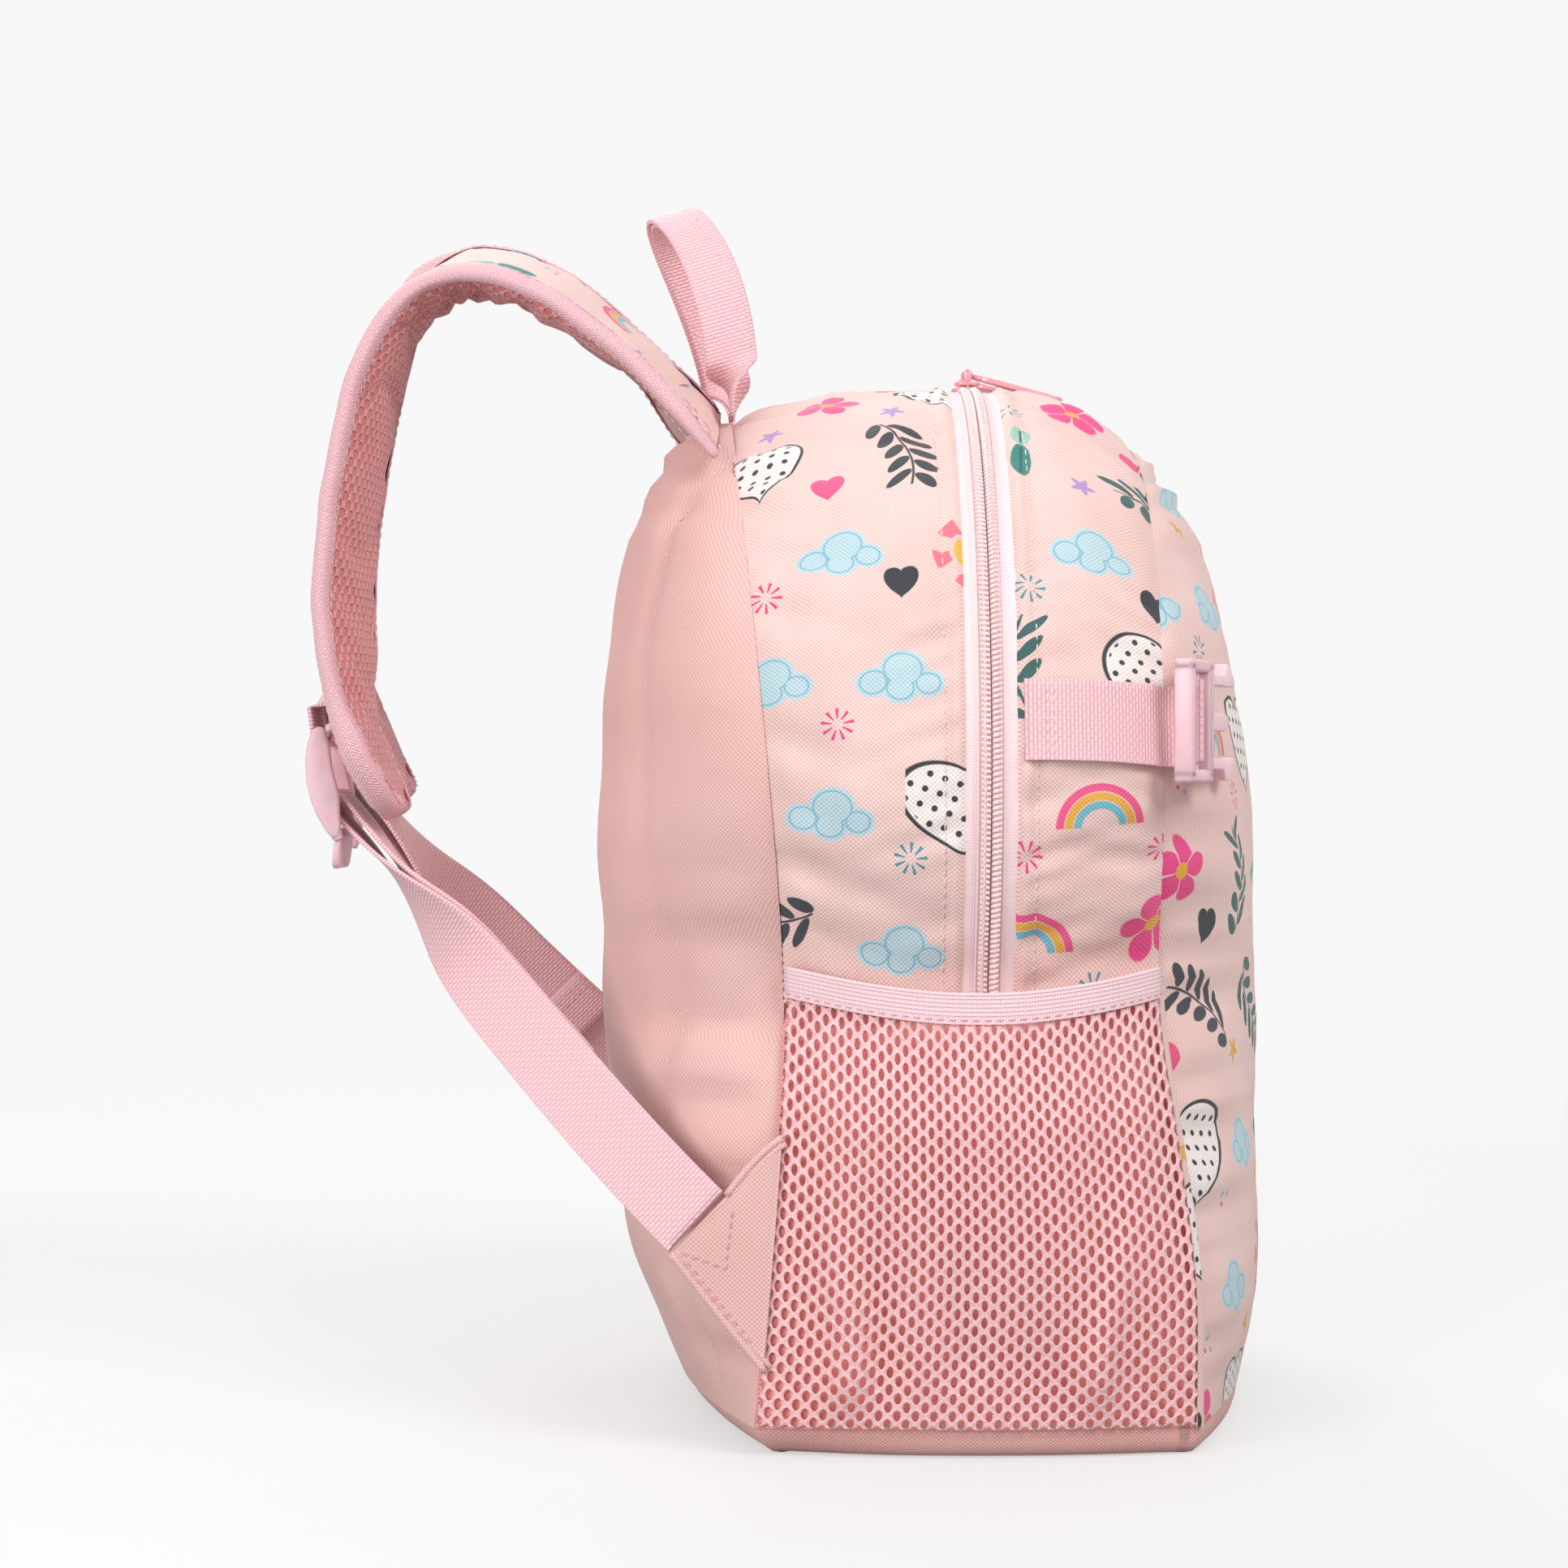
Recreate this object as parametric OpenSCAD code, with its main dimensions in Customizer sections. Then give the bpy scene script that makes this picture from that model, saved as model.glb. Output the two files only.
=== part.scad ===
// Child's backpack: stuffed fabric body with an arched two-way zip, a front that folds
// forward, mesh side pockets, padded shoulder straps, ladder locks and a grab handle.
// Frame: origin at the centre of the base's resting face, +Z up, the front faces -Y,
// the back panel and the straps are on +Y, X is the width. Lengths are in millimetres.

/* [Body] */
// Radius of the zip's arch at the fabric's face
arch_r = 130; // [115:1:150]
// Height of the zip arch's centre above the base
arch_z = 213.5; // [200:0.5:230]
// Half width of the body above the base
base_half_w = 116; // [104:1:122]
// Depth position of the zip's centre line
zip_y = -5; // [-10:1:2]
// Depth position of the rear seam at the sides
rear_seam_y = 58; // [50:1:66]
// Further depth of the rear seam at the top of the arch
rear_seam_rise = 18; // [10:1:22]
// Depth position of the front seam at the sides
front_seam_y = -60; // [-70:1:-52]
// How far the back panel bulges behind the side seam
back_bulge = 62; // [50:1:70]
// How far the front panel bulges before the side seam
front_bulge = 44; // [30:1:52]
// How far the rear seam lies inside the zip's arch
rear_drop = 11; // [6:0.5:14]
// How far the front seam lies inside the zip's arch
front_drop = 19; // [12:0.5:22]
// Thickness of the printed fabric with its lining
fabric_t = 1.6; // [1.2:0.1:2]
// Height of the plain fabric tray of the base
base_h = 9; // [6:0.5:14]
// Thickness of the foam sheet behind the back panel
back_foam_t = 5; // [3:0.5:7]

/* [Zip] */
// Half width of the zip tape between the fabric edges
tape_half_w = 8.3; // [7.5:0.1:10]
// Thickness of the zip tape
tape_t = 0.8; // [0.6:0.1:1]
// Half width of the closed coil
coil_half_w = 2.9; // [2.6:0.1:3.3]
// Height of the coil above its tape
coil_h = 2; // [1.6:0.1:2.2]
// Width of the channel between the two coils for the slider's post
coil_gap = 1.4; // [1.2:0.1:1.8]
// Length of a slider
slider_l = 11; // [9:0.5:13]
// Length of a puller from its pin
puller_l = 34; // [28:1:36]
// Height of the ends of the zip above the base
zip_end_z = 150; // [140:1:158]
// Angle through which the front folds forward
flap_angle = 18; // [12:1:20]

/* [Side pockets] */
// Height of the mesh pocket's top edge
pocket_h = 149; // [120:1:152]
// Height of the elastic band along the pocket's top
band_h = 9.5; // [8:0.5:12]
// How far the mesh stands off the side panel at its middle
pocket_gap = 11; // [8:0.5:14]
// Thickness of the mesh
mesh_t = 0.8; // [0.6:0.1:1.2]
// Thickness of the elastic band
band_t = 1.6; // [1.2:0.1:2]

/* [Straps] */
// Width of a padded strap
strap_w = 60; // [50:1:64]
// Thickness of the foam inside a strap
strap_foam_t = 5.6; // [4:0.2:7]
// Thickness of a strap's printed cover
strap_cover_t = 1.2; // [0.8:0.1:1.6]
// Thickness of a strap's mesh lining
strap_mesh_t = 1.8; // [1.2:0.1:2.4]
// Width of the binding seen around a strap's edge
binding_w = 3; // [2:0.2:4]
// Width of the webbing
web_w = 25; // [20:1:26]
// Thickness of the webbing
web_t = 1.4; // [1.1:0.1:1.6]
// Length of the triangular tab along the side seam
tab_l = 72; // [60:1:76]
// Thickness of the triangular tab
tab_t = 3; // [2.4:0.1:3.4]

/* [Side buckles] */
// Width of a side buckle
buckle_w = 38; // [34:0.5:40]
// Length of a side buckle
buckle_l = 40; // [36:0.5:42]
// Thickness of a side buckle
buckle_t = 6; // [5:0.2:6.4]
// Height of the side webbing's centre line
side_strap_z = 227.5; // [220:0.5:232]

/* [Grab handle] */
// Height of the grab handle above the seam
handle_h = 78; // [60:1:80]
// Half distance between the handle's sewn ends
handle_x = 27; // [24:0.5:29]
// Width of the handle where it is folded
handle_w = 20; // [17:0.5:22]
// Thickness of the folded handle
handle_t = 3.2; // [2.8:0.1:3.6]
// Angle by which the handle leans back
handle_lean = 16; // [10:1:18]

/* [Hidden] */

// Working clearance between soft pieces of different bodies
gap = 0.3;
// Clearance between panels that are sewn edge to edge
seam_gap = 0.15;
// Half angle of the arch, measured from its top
arch_a = 117;
// Angles of the stations along half of the arch
ARC = [for (i = [0 : 18]) 3 + i * (arch_a - 3) / 18];
// Fractions across a panel, closer together at its edges
U = [for (i = [-10 : 10]) sin(i * 9)];
// Angle below the level fold line at which the fixed lower front begins
fold_a = flap_angle + 1.5;
body_top = arch_z + arch_r;
hinge_y = zip_y;
printed = "#f3c9c0";
plain = "#efb9b4";
pink = "#f1b3c2";
coral = "#dd7a7c";
tape_pink = "#efcdd6";

function mix(a, b, t) = a + (b - a) * t;
function clamp(t) = t < 0 ? 0 : t > 1 ? 1 : t;
function ease(t) = let (c = clamp(t)) c * c * (3 - 2 * c);
function unit(v) = v / norm(v);

// Height at which an arch drawn inside by off ends
function arc_end(off) = arch_z + (arch_r - off) * cos(arch_a);
// Half width of the body below the arch's end, as a cubic between three stations
function side_w(z, off) =
    let (z2 = arc_end(off), z1 = 100, h = z2 - z1, t = clamp((z - z1) / h),
        w1 = base_half_w + 3 - off, w2 = (arch_r - off) * sin(arch_a), m = -1 / tan(arch_a))
    z >= z1 ? (2*t*t*t - 3*t*t + 1) * w1 + (t*t*t - 2*t*t + t) * h * 0.03
        + (3*t*t - 2*t*t*t) * w2 + (t*t*t - t*t) * h * m
    : w1 - 3 * (z1 - z) / z1;
function half_w(z, off) = z >= arc_end(off)
    ? sqrt(max(0, (arch_r - off) * (arch_r - off) - (z - arch_z) * (z - arch_z)))
    : side_w(z, off);

// How much of the seams' drop is left at a height
function drop_k(z) = mix(0.35, 1, ease((z - base_h) / 150));
function seam_rear(z) = z > 140
    ? rear_seam_y + rear_seam_rise * pow((z - 140) / (body_top - rear_drop - 140), 1.3)
    : rear_seam_y + 10 * pow((140 - z) / 140, 1.2);
function seam_front(z) = front_seam_y - 11 * ease((zip_end_z - z) / 110);
// Drop of the gusset's face inside the arch at a depth and height
function drop(y, z) = drop_k(z) * (y > zip_y
    ? rear_drop * pow((y - zip_y) / (seam_rear(z) - zip_y), 2)
    : front_drop * pow((zip_y - y) / (zip_y - seam_front(z)), 2));

// Depth of the two panels along the middle of the body
function mid_front(z) =
    let (r = clamp((z - 150) / (body_top - front_drop - 150)))
    seam_front(z) - (z > 150 ? front_bulge * pow(1 - r * r, 0.6) : front_bulge
        - 11 * ease((150 - z) / 110) - 8 * pow(clamp((60 - z) / 60), 2));
function mid_rear(z) =
    let (r = z > 190 ? (z - 190) / (body_top - rear_drop - 190) : (190 - z) / 190)
    z > 190 ? mix(rear_seam_y + rear_seam_rise, rear_seam_y + back_bulge, pow(1 - clamp(r * r), 0.42))
    : mix(rear_seam_y + back_bulge - 27, rear_seam_y + back_bulge, pow(1 - clamp(r * r), 0.7));
// Share of the bulge at a fraction across the panel
function across(u, z) =
    let (k = ease(z / 60))
    pow(max(0, 1 - pow(abs(u), mix(1.7, 2.5, k))), mix(1, 0.6, k));
// The front is rounder across than the back above the base
function across_front(u, z) =
    let (k = ease(z / 60))
    pow(max(0, 1 - pow(abs(u), mix(1.7, 2, k))), mix(1, 0.8, k));
function front_y(u, z) = mix(seam_front(z), mid_front(z), across_front(u, z));
function rear_y(u, z) = mix(seam_rear(z), mid_rear(z), across(u, z));

// Closed shell between an outer grid and an inner grid of points, row by row
module shell(outer, inner) {
    n = len(outer);
    m = len(outer[0]);
    pts = concat([for (r = outer) each r], [for (r = inner) each r]);
    k = n * m;
    faces = concat(
        [for (i = [0 : n - 2]) for (j = [0 : m - 2]) each
            [[i*m + j, i*m + j + 1, (i+1)*m + j + 1], [i*m + j, (i+1)*m + j + 1, (i+1)*m + j]]],
        [for (i = [0 : n - 2]) for (j = [0 : m - 2]) each
            [[k + i*m + j, k + (i+1)*m + j + 1, k + i*m + j + 1],
             [k + i*m + j, k + (i+1)*m + j, k + (i+1)*m + j + 1]]],
        [for (i = [0 : n - 2]) each
            [[i*m, (i+1)*m, k + (i+1)*m], [i*m, k + (i+1)*m, k + i*m]]],
        [for (i = [0 : n - 2]) each
            [[i*m + m - 1, k + (i+1)*m + m - 1, (i+1)*m + m - 1],
             [i*m + m - 1, k + i*m + m - 1, k + (i+1)*m + m - 1]]],
        [for (j = [0 : m - 2]) each [[j, k + j + 1, j + 1], [j, k + j, k + j + 1]]],
        [for (j = [0 : m - 2]) each
            [[(n-1)*m + j, (n-1)*m + j + 1, k + (n-1)*m + j + 1],
             [(n-1)*m + j, k + (n-1)*m + j + 1, k + (n-1)*m + j]]]);
    polyhedron(points = pts, faces = faces, convexity = 6);
}
// The same shell wound the other way round
module shell_r(outer, inner) {
    shell([for (r = outer) [for (i = [len(r) - 1 : -1 : 0]) r[i]]],
        [for (r = inner) [for (i = [len(r) - 1 : -1 : 0]) r[i]]]);
}
// Solid swept through a list of closed sections of the same length; other picks the other
// diagonal of each side face, so that two lofts that share a twisted face fit each other
module loft(sections, other = false) {
    n = len(sections);
    m = len(sections[0]);
    faces = concat(
        [[for (j = [m - 1 : -1 : 0]) j]],
        [for (i = [0 : n - 2]) for (j = [0 : m - 1])
            let (a = i*m + j, b = i*m + (j+1) % m, c = (i+1)*m + (j+1) % m, d = (i+1)*m + j)
            each other ? [[a, b, d], [b, c, d]] : [[a, b, c], [a, c, d]]],
        [[for (j = [0 : m - 1]) (n-1)*m + j]]);
    polyhedron(points = [for (s = sections) each s], faces = faces, convexity = 6);
}

// ---- back panel, foam and rear gusset ----
// Rows of a panel from the base's tray to the top of the arch: [height, half width]
function arc_rows(off) = [for (i = [len(ARC) - 1 : -1 : 0])
    [arch_z + (arch_r - off) * cos(ARC[i]), (arch_r - off) * sin(ARC[i])]];
function low_rows(z0, z1, off, n) = [for (i = [0 : n - 1])
    let (z = mix(z0, z1, i / n)) [z, half_w(z, off * drop_k(z))]];
function rear_rows() = concat(low_rows(base_h, arc_end(rear_drop), rear_drop, 9), arc_rows(rear_drop));

module back_panel() {
    color(plain) {
        rows = rear_rows();
        t = fabric_t;
        shell_r([for (r = rows) [for (u = U) [-u * r[1], rear_y(u, r[0]), r[0]]]],
            [for (r = rows) [for (u = U)
                let (e = 1 - across(u, r[0]) * (1 - pow(clamp((r[0] - 250) / 90), 2)))
                [-u * (r[1] - t), rear_y(u, r[0]) - t * (1 - pow(e, 3)),
                    r[0] - t * pow(clamp((r[0] - 200) / 133), 2)]]]);
    }
}

// Depth of the foam sheet's face under the back panel's face
foam_in = fabric_t + 1.6;
module back_foam() {
    color("#e7e2dd") {
        zs = [for (i = [0 : 12]) mix(24, 290, i / 12)];
        us = [for (i = [-6 : 6]) 0.72 * sin(i * 15)];
        shell_r([for (z = zs) [for (u = us) [-u * half_w(z, rear_drop), rear_y(u, z) - foam_in, z]]],
            [for (z = zs) [for (u = us)
                [-u * half_w(z, rear_drop), rear_y(u, z) - foam_in - back_foam_t, z]]]);
    }
}

// A band of the gusset along the arch between two depths given as functions of a fraction
function band_y(f, part, z) = part == "rear" ? mix(zip_y + tape_half_w, seam_rear(z) - seam_gap, f)
    : mix(zip_y - tape_half_w, seam_front(z) + seam_gap, f);
// Height on the arch at an angle for a share of the seam's drop
function arch_h(a, d) = arch_z + (arch_r - d) * cos(a);
function arch_pt(a, y, z, out) = let (r = arch_r - drop(y, z) + out) [r * sin(a), y, arch_z + r * cos(a)];
function low_pt(s, y, z, out) = [s * (half_w(z, drop(y, z)) + out), y, z];
// Stations along the whole band from the left end over the top to the right end
function band_grid(part, out, fr) = concat(
    [for (i = [0 : 2]) [for (f = fr)
        let (z = mix(zip_end_z, arc_end(0), i / 3)) low_pt(-1, band_y(f, part, z), z, out)]],
    [for (a = [-arch_a : arch_a / 22 : arch_a + 0.01]) [for (f = fr)
        let (z = arch_h(a, f * f * (part == "rear" ? rear_drop : front_drop)))
            arch_pt(a, band_y(f, part, z), z, out)]],
    [for (i = [2 : -1 : 0]) [for (f = fr)
        let (z = mix(zip_end_z, arc_end(0), i / 3)) low_pt(1, band_y(f, part, z), z, out)]]);

module rear_gusset() {
    color(printed) shell(band_grid("rear", 0, [0, 0.25, 0.5, 0.75, 1]),
        band_grid("rear", -fabric_t, [0, 0.25, 0.5, 0.75, 1]));
}
module front_gusset() {
    color(printed) shell_r(band_grid("front", 0, [0, 0.25, 0.5, 0.75, 1]),
        band_grid("front", -fabric_t, [0, 0.25, 0.5, 0.75, 1]));
}

// ---- zip ----
// An arc-shaped strip with a rectangular section, y from y0 to y1, face from n0 to n1
module arch_strip(y0, y1, n0, n1, a_end) {
    translate([0, 0, arch_z]) rotate([90, 0, 0]) translate([0, 0, -y1])
        rotate([0, 0, 90 - a_end]) rotate_extrude(angle = 2 * a_end, $fn = 180)
            translate([arch_r + n0, 0]) square([n1 - n0, y1 - y0]);
}
tape_top = -0.4;
coil_low = tape_top + 0.1;
coil_top = tape_top + coil_h;
zip_stop_a = arch_a - 1.2;
module rear_zip_tape() {
    color(tape_pink) arch_strip(zip_y + coil_gap / 2, zip_y + tape_half_w, tape_top - tape_t, tape_top, zip_stop_a);
}
module front_zip_tape() {
    color(tape_pink) arch_strip(zip_y - tape_half_w, zip_y - coil_gap / 2, tape_top - tape_t, tape_top, zip_stop_a);
}
module rear_zip_coil() {
    color(pink) arch_strip(zip_y + coil_gap / 2, zip_y + coil_half_w, coil_low, coil_top, zip_stop_a - 1);
}
module front_zip_coil() {
    color(pink) arch_strip(zip_y - coil_half_w, zip_y - coil_gap / 2, coil_low, coil_top, zip_stop_a - 1);
}

// Angle from the top at which a slider rests
slider_a = 4.2;
wing_low = tape_top - tape_t - gap;
wing_high = coil_top + gap;
slider_w = 2 * coil_half_w + 3;
wing_t = 1.4;
// Bar of a slider, its height above the arch's face and the puller's ring around it
pin_r = 0.8;
ring_in = pin_r + 0.3;
ring_out = ring_in + 1;
pin_n = wing_high + wing_t + ring_out + 0.3;
// A frame that stands on the arch at angle a, local x along the zip, local z outward
module at_arch(a) {
    translate([0, zip_y, arch_z]) rotate([0, a, 0]) translate([0, 0, arch_r]) children();
}
module slider(a) {
    color("#e58c98") at_arch(a) {
        translate([-slider_l / 2, -slider_w / 2, wing_high]) cube([slider_l, slider_w, wing_t]);
        translate([-slider_l / 2, -slider_w / 2, wing_low - wing_t + 0.2])
            cube([slider_l, slider_w, wing_t - 0.2]);
        translate([-slider_l / 2, -coil_gap / 2 + gap, wing_low - 0.2])
            cube([3, coil_gap - 2 * gap, wing_high - wing_low + 0.4]);
        for (x = [-slider_l / 2, slider_l / 2 - 1.8])
            translate([x, -1.3, wing_high + wing_t - 0.1]) cube([1.8, 2.6, pin_n - wing_high - wing_t + 1.1]);
        translate([-slider_l / 2 + 0.5, 0, pin_n]) rotate([0, 90, 0]) cylinder(r = pin_r, h = slider_l - 1, $fn = 24);
    }
}
module slider_left() { slider(-slider_a); }
module slider_right() { slider(slider_a); }

puller_slope = 15;
module puller(a) {
    color("#ee8fa0") at_arch(a) translate([0, 0, pin_n]) rotate([puller_slope, 0, 0]) {
        difference() {
            union() {
                rotate([0, 90, 0]) translate([0, 0, -1.8]) cylinder(r = ring_out, h = 3.6, $fn = 32);
                translate([-1.8, -5, -1]) cube([3.6, 4, 2]);
            }
            rotate([0, 90, 0]) translate([0, 0, -3]) cylinder(r = ring_in, h = 6, $fn = 32);
        }
        translate([-3.5, -puller_l + 3.5, -1]) cube([7, puller_l - 8, 2]);
        translate([0, -puller_l + 3.5, -1]) cylinder(r = 3.5, h = 2, $fn = 36);
    }
}
module puller_left() { puller(-slider_a); }
module puller_right() { puller(slider_a); }

// ---- base ----
function base_x(y) = half_w(base_h, drop(y, base_h));
SF = [0.12, 0.25, 0.4, 0.55, 0.7, 0.85];
function base_pts(in) = concat(
    [for (u = U) [u * (base_x(seam_front(base_h)) - in), front_y(u, 0) + in]],
    [for (i = [len(SF) - 1 : -1 : 0]) let (y = side_y(SF[i], base_h)) [base_x(y) - in, y]],
    [for (i = [len(U) - 1 : -1 : 0]) [U[i] * (base_x(seam_rear(base_h)) - in), rear_y(U[i], 0) - in]],
    [for (f = SF) let (y = side_y(f, base_h)) [in - base_x(y), y]]);
module base_panel() {
    color(plain) difference() {
        linear_extrude(base_h) polygon(base_pts(0));
        translate([0, 0, fabric_t + 0.4]) linear_extrude(base_h) polygon(base_pts(fabric_t));
    }
}
module base_board() {
    color("#c9b7a6") translate([0, 0, fabric_t + 0.4]) linear_extrude(2) polygon(base_pts(9));
}

// ---- side panels and mesh pockets ----
// Top edge of the fixed lower shell at a depth: level behind the fold line, sloping before it
function low_top(y) = y >= hinge_y ? zip_end_z : zip_end_z - tan(fold_a) * (hinge_y - y);
FY = [0, 0.12, 0.25, 0.38, 0.5, 0.62, 0.75, 0.88, 1];
function side_y(f, z) = mix(seam_rear(z) - seam_gap, seam_front(z) + seam_gap, f);
function side_grid(s, out) = [for (i = [0 : 10]) [for (f = FY)
    let (y0 = side_y(f, 140), z = mix(base_h, low_top(y0), i / 10)) low_pt(s, side_y(f, z), z, out)]];
module side_panel_left() { color(coral) shell_r(side_grid(-1, 0), side_grid(-1, -fabric_t)); }
module side_panel_right() { color(coral) shell(side_grid(1, 0), side_grid(1, -fabric_t)); }

// The mesh stands off the side panel by a share of the pocket's gap, and a little at its front
// edge, past which the folding front swings
pocket_front = 7;
function pocket_y(f, z) = mix(seam_rear(z) - 1, seam_front(z) + 1, f);
function pocket_top(f) = pocket_h - 7 * sin(180 * f);
function pocket_off(f, t) = gap + pocket_gap * pow(sin(180 * clamp(f)), 0.6) * (0.15 + 0.85 * t)
    + pocket_front * ease((f - 0.55) / 0.45) * t;
function pocket_grid(s, z0, z1, out, rows) = [for (i = [0 : rows]) [for (f = FY)
    let (t = mix(z0, z1, i / rows), z = mix(base_h + 0.2, pocket_top(f), t), y = pocket_y(f, z))
    [s * (half_w(z, drop(y, z)) + pocket_off(f, t) + out), y, z]]];
band_f = band_h / pocket_h;
module mesh_pocket(s) {
    color(coral, 0.7) {
        a = pocket_grid(s, 0, 1 - band_f, mesh_t + 0.3, 9);
        b = pocket_grid(s, 0, 1 - band_f, 0.3, 9);
        if (s < 0) shell_r(a, b);
        else shell(a, b);
    }
}
module mesh_pocket_left() { mesh_pocket(-1); }
module mesh_pocket_right() { mesh_pocket(1); }
module pocket_elastic(s) {
    color(tape_pink) {
        a = pocket_grid(s, 1 - band_f, 1, band_t, 2);
        b = pocket_grid(s, 1 - band_f, 1, 0, 2);
        if (s < 0) shell_r(a, b);
        else shell(a, b);
    }
}
module pocket_elastic_left() { pocket_elastic(-1); }
module pocket_elastic_right() { pocket_elastic(1); }

// ---- front panels and the fold between them ----
// Height of a row whose edge slopes with the fold, found by three passes
function sloped(zm, k, u, n) = n == 0 ? zm : zm + k * (front_y(u, sloped(zm, k, u, n - 1)) - front_y(0, zm));
function front_pt(u, z, t) =
    let (w = half_w(z, front_drop * drop_k(z)), e = 1 - across_front(u, z))
    [u * (w - t), front_y(u, z) + t * (1 - pow(e, 3)) * (z > 250 ? 1 - pow(clamp((z - 250) / 74), 2) : 1),
        z - t * pow(clamp((z - 200) / 125), 2)];
module front_panel_upper() {
    rows = concat([[zip_end_z], [mix(zip_end_z, arc_end(front_drop), 0.5)]],
        [for (r = arc_rows(front_drop)) [r[0]]]);
    color(printed) shell_r([for (r = rows) [for (u = U) front_pt(u, r[0], 0)]],
        [for (r = rows) [for (u = U) front_pt(u, r[0], fabric_t)]]);
}
mid_low_top = low_top(mid_front(110));
module front_panel_lower() {
    rows = [for (i = [0 : 10]) [mix(base_h, mid_low_top, i / 10), tan(fold_a) * i / 10]];
    color(printed) shell_r([for (r = rows) [for (u = U) front_pt(u, sloped(r[0], r[1], u, 3), 0)]],
        [for (r = rows) [for (u = U) front_pt(u, sloped(r[0], r[1], u, 3), fabric_t)]]);
}
// Path of the fold piece: left side, across the front, right side
FOLD = concat([for (f = [0.1, 0.3, 0.5, 0.7, 0.9, 1]) [-1, f]], [for (i = [1 : len(U) - 2]) [0, U[i]]],
    [for (f = [1, 0.9, 0.7, 0.5, 0.3, 0.1]) [1, f]]);
function fold_pt(p, g, t) = p[0] == 0
    ? let (zl = sloped(mid_low_top, tan(fold_a), p[1], 3) + gap, z = mix(zl, zip_end_z - gap, g))
        front_pt(p[1], z, t)
    : let (y0 = mix(hinge_y, seam_front(130), p[1]), z = mix(low_top(y0) + gap, zip_end_z - gap, g),
        y = mix(hinge_y, seam_front(z), p[1]))
        [p[0] * (half_w(z, drop(y, z)) - t), y + (p[1] == 1 ? t : 0), z];
module front_fold() {
    color(printed) shell_r([for (g = [0, 0.33, 0.67, 1]) [for (p = FOLD) fold_pt(p, g, 0)]],
        [for (g = [0, 0.33, 0.67, 1]) [for (p = FOLD) fold_pt(p, g, fabric_t)]]);
}

// ---- side webbing and side buckles ----
side_a = acos((side_strap_z - arch_z) / arch_r);
web_a = web_w / arch_r * 90 / PI;
side_y0 = zip_y - tape_half_w - 1.5;
side_y1 = front_seam_y - 7;
// Section of the side webbing across its width at a depth
function side_web_row(s, y, n) = [for (i = [-2 : 2])
    let (a = side_a + i * web_a / 2, p = arch_pt(a, max(y, front_seam_y), arch_h(a, 0), n + seam_gap))
    [s * p[0], y, p[2]]];
module side_strap(s) {
    ys = concat([side_y0], [for (f = [0.25, 0.5, 0.75, 1]) band_y(f, "front", side_strap_z)], [side_y1]);
    color(pink) {
        a = [for (y = ys) side_web_row(s, y, web_t)];
        b = [for (y = ys) side_web_row(s, y, 0)];
        if (s < 0) shell_r(a, b);
        else shell(a, b);
        buckle_place(s) translate([0, -web_w / 2, 0]) web_ring();
    }
}
// Direction of the buckle seen from above, and the centre of its bar
buckle_turn = 27;
bar_p = arch_pt(side_a, front_seam_y, side_strap_z, 0);
ring_r = 1.7;
bar_out = ring_r + web_t + 0.1;
module buckle_place(s) {
    mirror([s < 0 ? 0 : 1, 0, 0]) translate([-bar_p[0] - bar_out, side_y1 - 1.5, side_strap_z])
        rotate([0, 0, -buckle_turn]) rotate([90, 0, 0]) children();
}
// Webbing sewn around the buckle's bar, local y across the webbing
module web_ring() {
    rotate([-90, 0, 0]) difference() {
        cylinder(r = ring_r + web_t, h = web_w, $fn = 36);
        translate([0, 0, -1]) cylinder(r = ring_r, h = web_w + 2, $fn = 36);
    }
}
module side_strap_left() { side_strap(-1); }
module side_strap_right() { side_strap(1); }

// Male half of a side-release buckle: bar, frame around the webbing, centre guide and two sprung arms
module buckle_solid() {
    w = buckle_w;
    t = buckle_t;
    back = 10.5;
    side = 4;
    rotate([-90, 0, 0]) translate([0, 0, -w / 2 + 2]) cylinder(r = ring_r - 0.25, h = w - 4, $fn = 30);
    for (y = [-w / 2, w / 2 - side]) translate([-back, y, -t / 2]) cube([back + 10.8, side, t]);
    for (x = [-back, 6.4]) translate([x, -w / 2, -t / 2]) cube([4.4, w, t]);
    translate([10, -3, -1.6]) cube([buckle_l - 16, 6, 3.2]);
    for (s = [-1, 1]) {
        translate([10, s * (w / 2 - 6) - 2, -2]) cube([16, 4, 4]);
        translate([25.5, s * (w / 2 - 6), -2]) linear_extrude(4)
            polygon(s > 0 ? [[0, -2], [0, 5.5], [3, 5.5], [9, 0], [9, -2]] : [[0, 2], [9, 2], [9, 0], [3, -5.5], [0, -5.5]]);
    }
}
module side_buckle_left() { color("#f6b9c9") buckle_place(-1) buckle_solid(); }
module side_buckle_right() { color("#f6b9c9") buckle_place(1) buckle_solid(); }

// ---- grab handle ----
// The handle's ends are sewn in where the arch has already fallen a little
handle_root = [0, rear_seam_y + rear_seam_rise, body_top - rear_drop - handle_x * handle_x / 2 / arch_r];
function handle_c(t) =
    [-handle_x * cos(180 * t) * (1 + 0.3 * sin(180 * t)), 0, handle_h * pow(sin(180 * t), 0.75)];
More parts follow.
